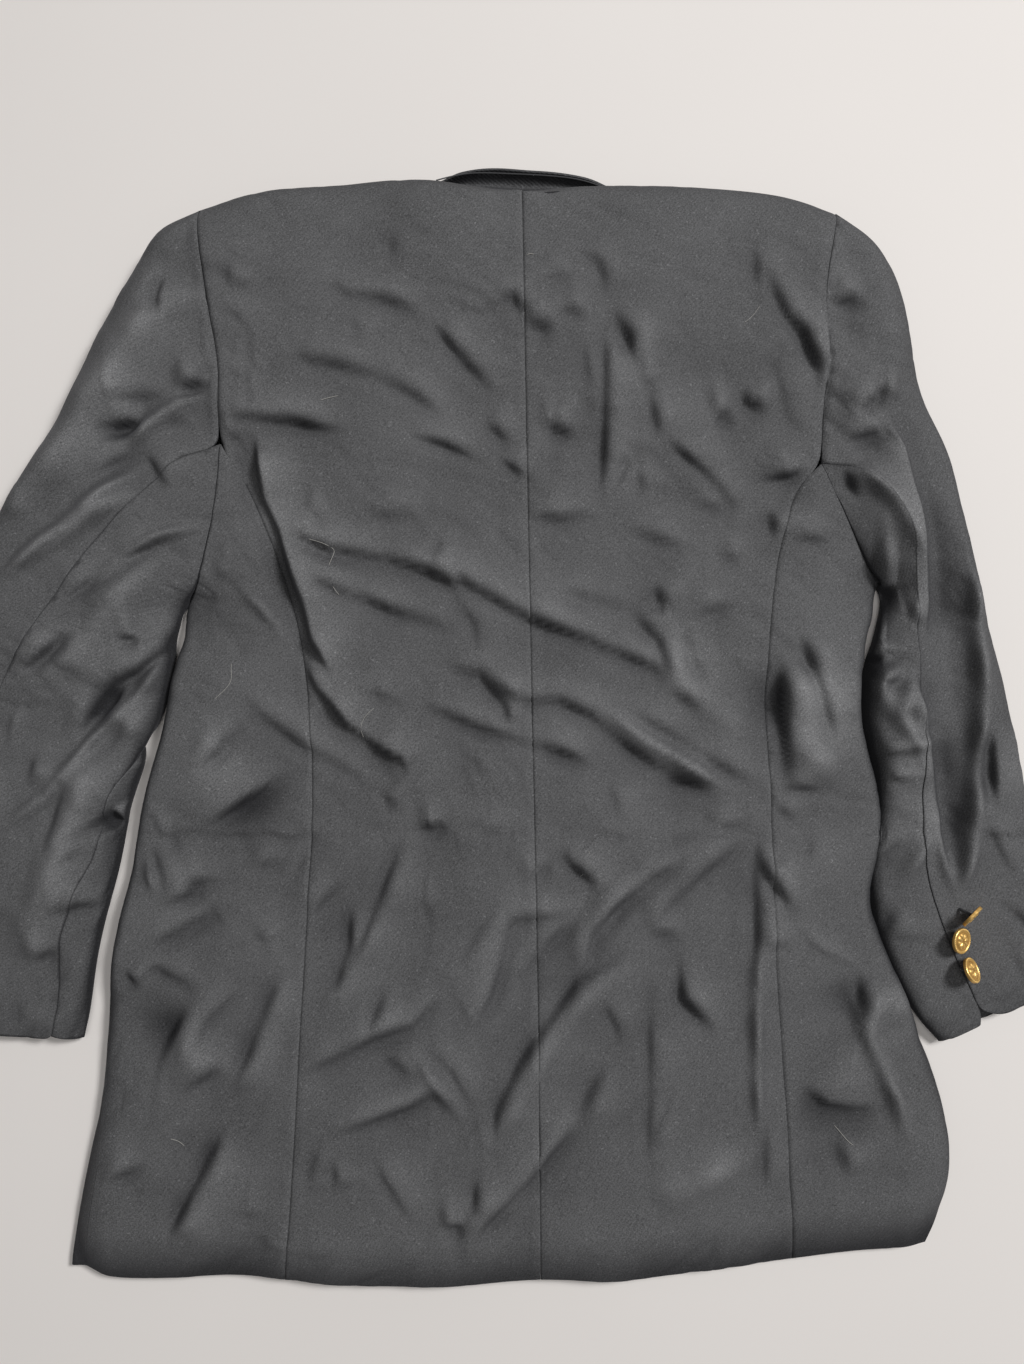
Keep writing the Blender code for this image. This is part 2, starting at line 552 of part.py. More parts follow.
def underarm(side):
    """The armhole across the side panel: back seam, crotch, then the underside."""
    top = to_chart(side, UNDERARM_LEFT if side < 0 else UNDERARM_RIGHT)
    edge, roll = edge_at(side, top[-1][1])
    turn = edge - roll + roll * pi / 2
    top[-1] = (float(turn), top[-1][1])
    low = around_edge(side, SIDE_SEAM_LEFT if side < 0 else SIDE_SEAM_RIGHT)[-1]
    reach = low[0] - turn
    line = smooth_line(top + [(turn + 0.45 * reach, top[-1][1] + 1.5), low])(np.linspace(0, 1, 300))
    start = turn - roll * pi / 2
    tight = (line[:, 0] > start - 3) & (line[:, 0] < turn + SIDE_LOW * pi / 2 + 3)
    weight = 1 / 26 + np.where(tight, 1 / 6.0, 0)
    step = np.linalg.norm(np.diff(line, axis=0), axis=1)
    run = np.concatenate([[0], np.cumsum((weight[1:] + weight[:-1]) / 2 * step)])
    want = np.linspace(0, run[-1], SIDE_COLS)
    return np.stack([np.interp(want, run, line[:, 0]), np.interp(want, run, line[:, 1])], axis=-1)


def side_grid(side):
    seam, low = side_edges(side)
    top = underarm(side)
    grid = np.zeros((len(SEAM_ROWS), SIDE_COLS, 2))
    c = np.linspace(0, 1, SIDE_COLS)
    hem_x = body_point(side, quantile_columns(side, seam[0, 0], low[0, 0], seam[0, 1], SIDE_COLS),
                       np.full(SIDE_COLS, seam[0, 1]), False)[:, 0]
    hem_q = np.interp(hem_x, *HEM_XY)
    hem_q += (seam[0, 1] - hem_q[0]) * (1 - c) + (low[0, 1] - hem_q[-1]) * c
    for j, v in enumerate(SEAM_ROWS):
        q = ((1 - v) * hem_q + v * top[:, 1] + (1 - c) * seam[j, 1] + c * low[j, 1]
             - (1 - c) * ((1 - v) * hem_q[0] + v * top[0, 1]) - c * ((1 - v) * hem_q[-1] + v * top[-1, 1]))
        p = quantile_columns(side, seam[j, 0], low[j, 0], float(np.mean(q)), SIDE_COLS)
        keep = soft_step(np.array([v]), 0.75, 1.0)[0]
        shifted = top[:, 0] + (seam[j, 0] - top[0, 0]) * (1 - c) + (low[j, 0] - top[-1, 0]) * c
        grid[j, :, 0] = p * (1 - keep) + shifted * keep
        grid[j, :, 1] = q
    return grid


def arm_line(side):
    pts = charted(side, ARM_LEFT if side < 0 else ARM_RIGHT)
    end = shoulder_end(side * pts[-1][0])[0]
    return smooth_line(pts + [(pts[-1][0] + 1.5, float(end))])(ARM_ROWS)


def front_arm_line(side):
    pts = charted(side, FRONT_ARM_LEFT if side < 0 else FRONT_ARM_RIGHT, 1)
    pts[0] = around_edge(side, SIDE_SEAM_LEFT if side < 0 else SIDE_SEAM_RIGHT)[-1]
    x_end = side * arm_line(side)[-1, 0]
    end = shoulder_end(x_end)[1]
    last = to_chart(side, [(x_end, 300, 1)])[0]
    return smooth_line(pts[:-6] + [(last[0], float(end))])(FRONT_ARM_ROWS)


def shoulder_x(side):
    """x of the columns along the shoulder seam from neck to shoulder point."""
    x_end = side * arm_line(side)[-1, 0]
    neck = NECK_X[0] if side < 0 else NECK_X[1]
    return np.linspace(neck, x_end, FRONT_COLS)


def back_grid(side):
    seam, _ = side_edges(side)
    outer = np.concatenate([seam, arm_line(side)[1:]])
    v = shares(outer)
    centre_x = smooth_line([(side * x, y) for x, y in reversed(CENTRE)])
    neck = NECK_X[0] if side < 0 else NECK_X[1]
    top_x = np.concatenate([np.linspace(CENTRE[0][0], neck, 5), shoulder_x(side)[1:]])
    top = np.stack([side * top_x, shoulder_end(top_x)[0]], axis=-1)
    u = shares(top)
    full = centre_x(np.linspace(0, 1, 400))
    q_line = np.linspace(full[0, 1], top[0, 1], 400)
    run = np.stack([np.interp(q_line, full[:, 1], full[:, 0]), q_line], axis=-1)
    centre = np.stack([np.interp(v, np.linspace(0, 1, 400), run[:, 0]),
                       np.interp(v, np.linspace(0, 1, 400), run[:, 1])], axis=-1)
    hem_p = centre[0, 0] + (outer[0, 0] - centre[0, 0]) * u
    hem_q = np.interp(side * hem_p, *HEM_XY)
    hem_q += (centre[0, 1] - hem_q[0]) * (1 - u) + (outer[0, 1] - hem_q[-1]) * u
    bottom = np.stack([hem_p, hem_q], axis=-1)
    return patch(bottom, top, centre, outer, u, v)


def front_grid(side):
    _, low = side_edges(side)
    outer = np.concatenate([low, front_arm_line(side)[1:]])
    v = shares(outer)
    xs = shoulder_x(side)[::-1]
    top_p = [to_chart(side, [(x, 300, 1)])[0][0] for x in xs]
    top = np.stack([top_p, shoulder_end(xs)[1]], axis=-1)
    centre_x = 12 - side * LAP
    neck = NECK_X[0] if side < 0 else NECK_X[1]
    inner_pts = [(centre_x + 5, -390), (centre_x + 3, -200), (centre_x, -40), (centre_x, BREAK_Y),
                 (centre_x + 0.5 * (neck - centre_x), 190), (neck - side * 2, 300)]
    inner_line = smooth_line(charted(side, inner_pts, 1) + [(float(top[-1, 0]), float(top[-1, 1]))])
    inner = inner_line(v)
    c = np.linspace(0, 1, FRONT_COLS)
    grid = np.zeros((len(v), FRONT_COLS, 2))
    hem_q = outer[0, 1] + (inner[0, 1] - outer[0, 1]) * c
    for j, s in enumerate(v):
        q = ((1 - s) * hem_q + s * top[:, 1] + (1 - c) * outer[j, 1] + c * inner[j, 1]
             - (1 - c) * ((1 - s) * hem_q[0] + s * top[0, 1]) - c * ((1 - s) * hem_q[-1] + s * top[-1, 1]))
        edge_q = float(outer[j, 1])
        p = quantile_columns(side, outer[j, 0], inner[j, 0], edge_q, FRONT_COLS)
        keep = soft_step(np.array([s]), 0.8, 1.0)[0]
        shifted = top[:, 0] + (outer[j, 0] - top[0, 0]) * (1 - c) + (inner[j, 0] - top[-1, 0]) * c
        grid[j, :, 0] = p * (1 - keep) + shifted * keep
        grid[j, :, 1] = q
    return grid


def armhole_ring(side):
    """The body's armhole edge with its outward normals, from the shoulder by the back round to the front."""
    arm = arm_line(side)[::-1]
    under = underarm(side)
    front = front_arm_line(side)
    pts = np.concatenate([body_point(side, arm[:, 0], arm[:, 1], False),
                          body_point(side, under[1:, 0], under[1:, 1], False),
                          body_point(side, front[1:, 0], front[1:, 1], True)])
    nrm = np.concatenate([chart_normals(side, arm, False),
                          chart_normals(side, under[1:], False),
                          chart_normals(side, front[1:], True)])
    nrm[0] = nrm[-1]
    # the way the body cloth would run on past its edge
    past = unit(np.cross(nrm, np.gradient(pts, axis=0)))
    past *= np.sign(past[:, 0:1] * side + past[:, 1:2] + 1e-9)
    return pts, nrm, past


def sleeve_shape(side):
    """Everything about one sleeve that its sections need, in a frame along and across the sleeve."""
    way = np.array(SLEEVE_WAY[side])
    over = side * np.array([way[1], -way[0]])
    pts, nrm, past = armhole_ring(side)
    # the sleeve starts a seam opening away from the body, and a little more under the arm
    run = np.concatenate([[0], np.cumsum(np.linalg.norm(np.diff(pts, axis=0), axis=1))])
    at = len(ARM_ROWS) + int(np.argmax(pts[len(ARM_ROWS):len(ARM_ROWS) + SIDE_COLS, :2] @ way))
    near = np.exp(-((run - run[at]) / CROTCH_REACH) ** 2)[:, None]
    pts = pts + past * (SEAM + 0.8 * near) + nrm * CROTCH_ROOM * near
    pts[:, 2] = np.maximum(pts[:, 2], 0)
    along = pts[:, :2] @ way
    across = pts[:, :2] @ over
    crotch = len(ARM_ROWS) + int(np.argmax(along[len(ARM_ROWS):len(ARM_ROWS) + SIDE_COLS]))
    lines = []
    for table in ((SLEEVE_LEFT_OUT, SLEEVE_LEFT_IN) if side < 0 else (SLEEVE_RIGHT_OUT, SLEEVE_RIGHT_IN)):
        line = smooth_line(table)(np.linspace(0, 1, 300))
        tail = line[-1] + (line[-1] - line[-12]) * 3
        line = np.concatenate([line, [tail]])
        lines.append((line @ way, line @ over))
    (out_s, out_t), (in_s, in_t) = lines
    top_s, start = along[crotch], along[0]
    out_t = out_t + (across[0] - np.interp(start, out_s, out_t)) * np.exp(-np.maximum(out_s - start, 0) / 14)
    in_t = in_t + (across[crotch] - np.interp(top_s, in_s, in_t)) * np.exp(-np.maximum(in_s - top_s, 0) / 7)
    keep = in_s > top_s + 1.5

    def rim(ids):
        order = ids[np.argsort(along[ids])]
        low = np.full(keep.sum(), SLEEVE_LOW)
        return (np.concatenate([along[order], in_s[keep]]), np.concatenate([across[order], in_t[keep]]),
                np.concatenate([pts[order, 2], low]))

    return {"way": way, "over": over, "pts": pts, "nrm": nrm, "past": past, "crotch": crotch, "start": start,
            "turn": top_s, "out": (out_s, out_t), "top": rim(np.arange(0, crotch + 1)),
            "low": rim(np.arange(crotch, len(pts))), "tip_z": pts[0, 2],
            "ends": (out_s[-2], out_t[-2], in_s[-2], in_t[-2])}


def sleeve_runs(side, shape, s, deep=0.0):
    """Widths, turns and lengths of the section at s, of the outer face or of one that lies deeper."""
    v = np.clip((s - shape["start"]) / (shape["ends"][0] - shape["start"]), 0, 1)
    s_top, t_top, z_top = shape["top"]
    s_low, t_low, z_low = shape["low"]
    slant = (np.interp(s + 6, *shape["out"]) - np.interp(s - 6, *shape["out"])) / 12
    slant_in = (np.interp(s + 6, s_top, t_top) - np.interp(s - 6, s_top, t_top)) / 12
    closed = np.clip((s - shape["turn"] + 5) / 5, 0, 1)
    edge = np.interp(s, *shape["out"]) + deep * np.minimum(np.sqrt(1 + slant ** 2), 1.5)
    narrow = deep * np.minimum(np.sqrt(1 + slant_in ** 2), 1.5) * closed
    wide = np.maximum(np.interp(s, s_top, t_top) - edge - narrow, 0.6)
    wide_low = np.maximum(np.interp(s, s_low, t_low) - edge - narrow, 0.6)
    open_part = np.clip((shape["turn"] - s) / 50, 0, 1)
    roll_out = np.minimum(22 - 8 * v - deep, 0.5 * wide)
    roll_in = np.minimum(10 + 2 * v + 14 * open_part - deep, 0.45 * wide)
    low_out = np.minimum(SLEEVE_LOW - deep, 0.4 * wide_low)
    low_in = (SLEEVE_LOW - deep) * np.clip((s - shape["turn"] + 1) / 5, 0.02, 1)
    low_in = np.minimum(low_in, 0.4 * wide_low)
    run = wide + (roll_out + roll_in) * (pi / 2 - 1)
    run_low = wide_low + (low_out + low_in) * (pi / 2 - 1)
    return {"v": v, "edge": edge, "wide": wide, "wide_low": wide_low, "open": open_part, "roll_out": roll_out,
            "roll_in": roll_in, "low_out": low_out, "low_in": low_in, "run": run, "run_low": run_low,
            "z_top": np.interp(s, s_top, z_top) - deep * (1 - closed),
            "z_low": np.interp(s, s_low, z_low) + deep * (1 - closed)}


def sleeve_point(side, shape, w, s, deep=0.0):
    """Place on the sleeve: s along it, w round it (0 outer edge, 1 inner edge, back under to 2)."""
    r = sleeve_runs(side, shape, s, deep)
    on_top = w <= 1
    z_out = SLEEVE_LOW + (shape["tip_z"] - SLEEVE_LOW) * np.clip(1 - (s - shape["start"]) / 45, 0, 1) ** 2
    a = np.clip(w, 0, 1) * r["run"]
    b = r["run"] - a
    turn = np.clip(a / r["roll_out"], 0, pi / 2)
    turn_b = np.clip(b / r["roll_in"], 0, pi / 2)
    place_top = np.where(a < r["roll_out"] * pi / 2, r["roll_out"] * (1 - np.cos(turn)),
                         np.where(b < r["roll_in"] * pi / 2, r["wide"] - r["roll_in"] * (1 - np.cos(turn_b)),
                                  r["roll_out"] + a - r["roll_out"] * pi / 2))
    a2 = np.clip(w - 1, 0, 1) * r["run_low"]
    b2 = r["run_low"] - a2
    t2 = np.clip(a2 / r["low_in"], 0, pi / 2)
    t3 = np.clip(b2 / r["low_out"], 0, pi / 2)
    place_low = np.where(a2 < r["low_in"] * pi / 2, r["wide_low"] - r["low_in"] * (1 - np.cos(t2)),
                         np.where(b2 < r["low_out"] * pi / 2, r["low_out"] * (1 - np.cos(t3)),
                                  r["wide_low"] - r["low_in"] - (a2 - r["low_in"] * pi / 2)))
    t = r["edge"] + np.where(on_top, place_top, place_low)
    xy = s[..., None] * shape["way"] + t[..., None] * shape["over"]
    x, y = xy[..., 0], xy[..., 1]
    left = side < 0
    table = SLEEVE_FOLDS_LEFT if left else SLEEVE_FOLDS_RIGHT
    top_of = column(SLEEVE_HEIGHT_LEFT if left else SLEEVE_HEIGHT_RIGHT, r["v"], 1)
    body = np.maximum(top_of + folds(table, x, y), 10.0)
    near_cuff = np.clip((cuff_s(shape, t) - s) / 30, 0, 1)
    rise = np.sqrt(1 - (1 - near_cuff) ** 2)
    height = CUFF_LOW + 2 + (body - CUFF_LOW - 2) * rise - deep
    base = z_out + (r["z_top"] - z_out) * place_top / r["wide"]
    part = turn_b / (pi / 2)
    share_in = np.sin(turn_b) * (1 - r["open"]) + part * part * (3 - 2 * part) * r["open"]
    z_top = base + (height - base) * np.sin(turn) * share_in
    z_low = deep + (z_out - deep) * (1 - np.sin(t3)) + (r["z_low"] - deep) * (1 - np.sin(t2))
    return np.stack([x, y, np.where(on_top, z_top, z_low)], axis=-1)


def cuff_s(shape, t):
    """How far along the sleeve its cuff lies at each place across."""
    s0, t0, s1, t1 = shape["ends"]
    return s0 + (s1 - s0) * np.clip((t - t0) / (t1 - t0), -0.1, 1.1)


def from_outer(side, shape, x, y, under):
    """Chart place of a point on the sleeve: distance from its outer edge, over the top or the underside."""
    s = x * shape["way"][0] + y * shape["way"][1]
    t = x * shape["over"][0] + y * shape["over"][1]
    r = {key: float(value) for key, value in sleeve_runs(side, shape, np.array(s)).items()}
    place = t - r["edge"]
    if under == 1:
        return -(place + r["low_out"] * (pi / 2 - 1)), float(s)
    gap = r["wide"] - place
    if gap < r["roll_in"]:
        gone = r["run"] - r["roll_in"] * np.arccos(np.clip(1 - gap / r["roll_in"], -1, 1))
    else:
        gone = place + r["roll_out"] * (pi / 2 - 1)
    if under == 2:
        # round the inner edge and back on top
        gone = -r["run_low"] - (r["run"] - gone)
    return float(gone), float(s)


def around(side, shape, turn, s):
    """Distance round the section from the outer edge for a place round the sleeve from 0.5 to 3."""
    r = sleeve_runs(side, shape, s)
    return np.where(turn < 1, -r["run_low"] - (1 - turn) * r["run"],
                    np.where(turn < 2, -(2 - turn) * r["run_low"], (turn - 2) * r["run"]))


def around_point(side, shape, rho, s, from_inner, deep=0.0):
    """Place for a distance round the section, measured from the outer or the inner edge."""
    r = sleeve_runs(side, shape, s)
    if from_inner:
        w = np.where(rho <= 0, 1 + rho / r["run"], 1 + rho / r["run_low"])
    else:
        w = np.where(rho >= 0, rho / r["run"], 2 + rho / r["run_low"])
        w = np.where((rho < 0) & (w < 1), 1 - (1 - w) * r["run_low"] / r["run"], w)
    above = s < shape["turn"]
    w = np.where(above & (rho >= 0) & (not from_inner), np.minimum(w, 1.0), w)
    w = np.where(above & (rho < 0) & (not from_inner), np.maximum(w, 1.0 + 1e-7), w)
    return sleeve_point(side, shape, w, s, deep)


def sleeve_walls(side):
    """Both pieces of a sleeve: outer face, inner face, net of triangles and length of the border."""
    shape = sleeve_shape(side)
    pts, nrm, crotch = shape["pts"], shape["nrm"], shape["crotch"]
    n_arm = len(ARM_ROWS)
    under_ids = np.arange(n_arm - 1, n_arm + SIDE_COLS + 1)
    front_ids = np.arange(n_arm + SIDE_COLS, len(pts))
    top_ids = np.concatenate([front_ids, np.arange(1, n_arm)])
    along = pts[:, :2] @ shape["way"]
    s0, t0, s1, t1 = shape["ends"]

    def seam(table, start, first):
        """Place round the sleeve and s of a lengthwise seam."""
        rows = [(first, float(start))] + [from_outer(side, shape, *row) for row in table]
        line = smooth_line(rows)(SLEEVE_ROWS)
        r = sleeve_runs(side, shape, line[:, 1])
        rho = line[:, 0]
        below = np.where(rho > -r["run_low"], 2 + rho / r["run_low"], 1 + (r["run_low"] + rho) / r["run"])
        turn = np.where(rho >= 0, rho / r["run"], below)
        turn[0] = 1.0
        return turn, line[:, 1]

    first = sleeve_runs(side, shape, along[under_ids[[0, -1]]])
    hind, hind_s = seam(HIND_SEAM[side], along[under_ids[0]], float(first["run"][0]))
    inseam, inseam_s = seam(INSEAM[side], along[under_ids[-1]], -float(first["run_low"][1]))
    walls = {}
    for name, ids in (("under", under_ids), ("top", top_ids)):
        inner = name == "under"
        if inner:
            def rho_of(turn, s):
                r = sleeve_runs(side, shape, s)
                return np.where(turn <= 1, -(1 - turn) * r["run"], (turn - 1) * r["run_low"])
            ring_rho = np.zeros(len(ids))
            low_side = np.arange(len(ids)) > np.argmax(ids == crotch)
            start, end = (hind, hind_s), (inseam, inseam_s)
            columns, spaces = UNDER_COLUMNS, UNDER_STEPS[side]
        else:
            def rho_of(turn, s):
                return around(side, shape, turn, s)
            r = sleeve_runs(side, shape, along[ids])
            wrap = len(front_ids)
            ring_rho = np.concatenate([-r["run_low"][:wrap], r["run"][wrap:]])
            ring_rho[wrap - 1] = 0
            start, end = (inseam, inseam_s), (hind + 2, hind_s)
            columns, spaces = TOP_COLUMNS, TOP_STEPS
        # border: the ring, down one seam, along the cuff, up the other seam
        turns = np.linspace(end[0][-1], start[0][-1], len(ids))[1:-1]
        ways = np.where(turns > 2, turns - 2, turns)
        cuff_line = s0 + (s1 - s0) * np.where(ways <= 1, ways, 2 - ways)
        line_rho = np.concatenate([ring_rho, rho_of(*end)[1:], rho_of(turns, cuff_line),
                                   rho_of(*start)[:0:-1]])
        line_s = np.concatenate([along[ids], end[1][1:], cuff_line, start[1][:0:-1]])
        border = len(line_s)
        rows = len(SLEEVE_ROWS)
        spread = np.zeros(border)
        if inner:
            spread = np.sign(line_rho)
            spread[:len(ids)] = np.where(low_side, 1, -1)
        # the two seam lines move in by half an opening
        line = np.stack([line_rho, line_s], axis=-1)
        turned = np.roll(line, -1, axis=0) - np.roll(line, 1, axis=0)
        normal = unit(np.stack([-turned[:, 1], turned[:, 0]], axis=-1))
        area = np.sum(line[:, 0] * np.roll(line[:, 1], -1) - np.roll(line[:, 0], -1) * line[:, 1])
        normal *= np.sign(area) if area else 1
        last = len(ids) - 1
        on_seam = np.zeros(border, bool)
        on_seam[last + 1:last + rows - 1] = True
        on_seam[border - rows + 2:] = True
        line[on_seam] += normal[on_seam] * SEAM / 2
        for k, way in ((last + rows - 1, 1), (border - rows + 1, -1)):
            line[k] += unit(line[(k + way) % border] - line[k]) * SEAM / 2

        def opened(rho, s, spread):
            """The chart with its slit under the arm opened, for the net only."""
            return rho + spread * SLIT * np.maximum(shape["turn"] - s, 0)
        flat = np.stack([opened(line[:, 0], line[:, 1], spread), line[:, 1]], axis=-1)
        # inner points in rows along the sleeve, closer together by the underarm
        here, stop, rows_s = float(flat[:, 1].min()), float(flat[:, 1].max()), []
        while here < stop:
            rows_s.append(here)
            far = soft_step(np.array(abs(here - shape["turn"])), 25, 90)
            here += spaces[0] + (spaces[1] - spaces[0]) * far
        found = []
        for here in rows_s:
            row = np.array(columns, float)
            if not inner:
                # columns round the inner edge follow that edge
                low = float(sleeve_runs(side, shape, np.array(here))["run_low"])
                row = np.concatenate([np.array(INNER_COLUMNS) - low, row[row > 16 - low]])
            found.append(np.stack([row, np.full(len(row), here), np.gradient(row)], axis=-1))
        found = np.concatenate(found)
        rho, s, room = found[:, 0], found[:, 1], found[:, 2]
        side_of = np.where(rho > 0, 1.0, -1.0) if inner else np.zeros(len(rho))
        x = opened(rho, s, side_of)
        inside, away = outline_places(flat, x, s)
        keep = inside & (away > np.clip(0.6 * room, NET_ROOM[0], NET_ROOM[1]))
        if inner:
            keep &= (s > shape["turn"] + 1) | (np.abs(rho) > 2)
        rho, s, x = rho[keep], s[keep], x[keep]
        places = [(float(a), float(b)) for a, b in np.concatenate([flat, np.stack([x, s], axis=-1)])]
        loop = [(k, (k + 1) % border) for k in range(border)]
        made, _, net, sources, _, _ = delaunay_2d_cdt(places, loop, [], 1, 1e-5)
        order = [min(group) for group in sources]
        net = [tuple(order[k] for k in face) for face in net]
        rho, s = np.concatenate([line[:, 0], rho]), np.concatenate([line[:, 1], s])
        outer = around_point(side, shape, rho, s, inner)
        through = around_point(side, shape, rho, s, inner, WALL) - outer
        outer[:len(ids)] = pts[ids]
        for end_at, near in ((0, 1), (last, last - 1)):
            outer[end_at] += unit(outer[near] - outer[end_at]) * SEAM / 2
        # under the arm the sleeve turns back from the body, elsewhere it runs on from it
        gaps = np.linalg.norm(outer[:, None] - pts[ids][None], axis=-1)
        nearest = np.argmin(gaps, axis=1)
        blend = np.clip(1 - gaps.min(axis=1) / RING_BLEND, 0, 1)
        blend[:len(ids)] = 1
        nearest[:len(ids)] = np.arange(len(ids))
        onward, deeper = np.zeros((len(ids), 3)), np.zeros((len(ids), 3))
        for k in range(len(ids)):
            close = np.argsort(np.linalg.norm(outer[border:] - outer[k], axis=1))[:3] + border
            onward[k] = unit(outer[close].mean(axis=0) - outer[k])
            deeper[k] = through[close].mean(axis=0)
        folded = soft_step(np.sum(onward * nrm[ids], axis=-1), 0.2, 0.6)[:, None]
        own = unit(-nrm[ids] * (1 - folded) + unit(deeper) * folded) * WALL
        tight = np.exp(-(np.linalg.norm(pts[ids] - pts[crotch], axis=1) / 9) ** 2)[:, None]
        own += onward * tight * CROTCH_TILT
        through = through * (1 - blend[:, None]) + own[nearest] * blend[:, None]
        thin = 1 - CROTCH_THIN * np.exp(-(np.linalg.norm(outer - pts[crotch], axis=1) / 16) ** 2) * inner
        walls[name] = (outer, outer + through * thin[:, None], net, border)
    return walls


def lapel(name, outline):
    """A flat plate on the rest plane under a front."""
    line = []
    for a, b in zip(outline, outline[1:] + outline[:1]):
        line += [(a[0] + (b[0] - a[0]) * k, a[1] + (b[1] - a[1]) * k) for k in (0, 0.12, 0.5, 0.88)]
    line = np.array(line)
    line = np.where(np.arange(len(line))[:, None] % 4 == 0,
                    0.5 * line + 0.25 * (np.roll(line, 1, axis=0) + np.roll(line, -1, axis=0)), line)
    middle = np.mean(line, axis=0)
    count = len(line)
    verts = []
    for z in (0.0, FLAT_WALL):
        verts += [(x, y, z) for x, y in line] + [(middle[0], middle[1], z)]
    faces = []
    for k in range(count):
        n = (k + 1) % count
        faces += [(k, n, count), (count + 1 + k, 2 * count + 1, count + 1 + n)]
        faces += [(k, count + 1 + k, n), (n, count + 1 + k, count + 1 + n)]
    return mesh_object(name, np.array(verts) * MM, faces)


def collar():
    """A gutter behind the back neck with flat ends under the fronts."""
    table = np.array(COLLAR, float)
    stations = 33
    lines = [smooth_line(table[:, k:k + 3])(np.linspace(0, 1, stations)) for k in (0, 3, 6)]
    t = np.linspace(0, 1, 7)
    rows = []
    for k in t:
        rows.append((1 - k) ** 2 * lines[0] + 2 * k * (1 - k) * (2 * lines[1] - (lines[0] + lines[2]) / 2)
                    + k ** 2 * lines[2])
    outer = np.stack(rows)
    outer[..., 2] = np.maximum(outer[..., 2], FLAT_WALL)
    normal = unit(np.cross(np.gradient(outer, axis=1), np.gradient(outer, axis=0)))
    normal *= np.where(normal[3, 16, 2] < 0, -1, 1)
    inner = outer - FLAT_WALL * normal
    inner[..., 2] = np.maximum(inner[..., 2], 0)
    return wall_object("collar", outer, inner)


def button(name, row):
    """A disc with a raised rim, and a thread stem from its back to the cloth."""
    centre, axis, foot = np.array(row, float).reshape(3, 3)
    axis = unit(axis)
    a = unit(np.cross(axis, [0, 0.3, 1.0]))
    b = np.cross(axis, a)
    half = BUTTON_T / 2
    stem = unit(foot - (centre - half * axis))
    across = unit(a - (a @ stem) * stem)
    profile = [(BUTTON_R - 2.0, half - 0.5), (BUTTON_R - 1.2, half), (BUTTON_R - 0.4, half - 0.1), (BUTTON_R, 0),
               (BUTTON_R - 0.8, -half), (1.7, -half)]
    rings = [(r, centre + h * axis, a, b) for r, h in profile] + [(1.3, foot, across, np.cross(-stem, across))]
    seg = 16
    verts = []
    for r, middle, u, v in rings:
        for k in range(seg):
            angle = 2 * pi * k / seg
            verts.append(middle + r * (np.cos(angle) * u + np.sin(angle) * v))
    verts += [centre + (half - 0.3) * axis, foot]
    count = len(rings)
    faces = []
    for k in range(seg):
        n = (k + 1) % seg
        faces += [(k, n, count * seg), ((count - 1) * seg + n, (count - 1) * seg + k, count * seg + 1)]
        for r in range(count - 1):
            i, j = r * seg, (r + 1) * seg
            faces += [(i + k, j + k, i + n), (i + n, j + k, j + n)]
    return mesh_object(name, np.array(verts) * MM, faces)


for old in list(bpy.data.objects):
    bpy.data.objects.remove(old, do_unlink=True)

for side, tag in ((-1, "left"), (1, "right")):
    body_wall("back_" + tag, side, inset(back_grid(side), ("left", "right", "end")), False)
    body_wall("side_" + tag, side, inset(side_grid(side), ("left", "right", "end")), False)
    front = inset(front_grid(side), ("left", "end"))
    if side < 0:
        # a little more room where the seam passes round the edge
        front[:, 0, 0] += 0.7 * np.exp(-((front[:, 0, 1] + 235) / 45) ** 2)
    body_wall("front_" + tag, side, front, True)
    parts = sleeve_walls(side)
    for piece in ("top", "under"):
        netted_wall("sleeve_%s_%s" % (tag, piece), *parts[piece])
lapel("lapel_left", LAPEL_LEFT)
lapel("lapel_right", LAPEL_RIGHT)
collar()
for name, row in BUTTONS.items():
    button(name, row)
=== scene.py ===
# A charcoal wool blazer laid face down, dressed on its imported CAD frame. Tables and shape code are in mm.
import bmesh
import bpy
import numpy as np
from math import cos, pi, radians, sin
from mathutils import Matrix, Vector, noise


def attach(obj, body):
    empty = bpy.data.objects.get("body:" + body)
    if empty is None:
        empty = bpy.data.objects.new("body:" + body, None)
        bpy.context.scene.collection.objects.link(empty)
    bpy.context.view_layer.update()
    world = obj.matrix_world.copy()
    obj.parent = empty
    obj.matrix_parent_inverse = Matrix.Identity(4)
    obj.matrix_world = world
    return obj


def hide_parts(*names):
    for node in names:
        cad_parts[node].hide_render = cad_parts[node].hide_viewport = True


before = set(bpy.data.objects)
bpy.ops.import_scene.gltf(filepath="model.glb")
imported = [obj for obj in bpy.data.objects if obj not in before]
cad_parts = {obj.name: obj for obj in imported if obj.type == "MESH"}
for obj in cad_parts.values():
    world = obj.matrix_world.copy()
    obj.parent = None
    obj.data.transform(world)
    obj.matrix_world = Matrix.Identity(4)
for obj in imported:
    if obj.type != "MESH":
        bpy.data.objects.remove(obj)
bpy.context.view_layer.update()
mm = 0.001


def toLinear(hexColour):
    parts = [int(hexColour[i:i + 2], 16) / 255 for i in (1, 3, 5)]
    return [c / 12.92 if c <= 0.04045 else ((c + 0.055) / 1.055) ** 2.4 for c in parts] + [1]


def addNode(material, kind, links=None, **settings):
    node = material.node_tree.nodes.new(kind)
    for name, value in settings.items():
        setattr(node, name, value)
    for name, value in (links or {}).items():
        socket = node.inputs[name]
        if isinstance(value, bpy.types.NodeSocket):
            material.node_tree.links.new(value, socket)
        else:
            socket.default_value = value
    return node


def newMaterial(name):
    material = bpy.data.materials.new(name)
    material.use_nodes = True
    material.node_tree.nodes.clear()
    return material


def finishMaterial(material, shader):
    addNode(material, "ShaderNodeOutputMaterial", {"Surface": shader.outputs[0]})
    return material


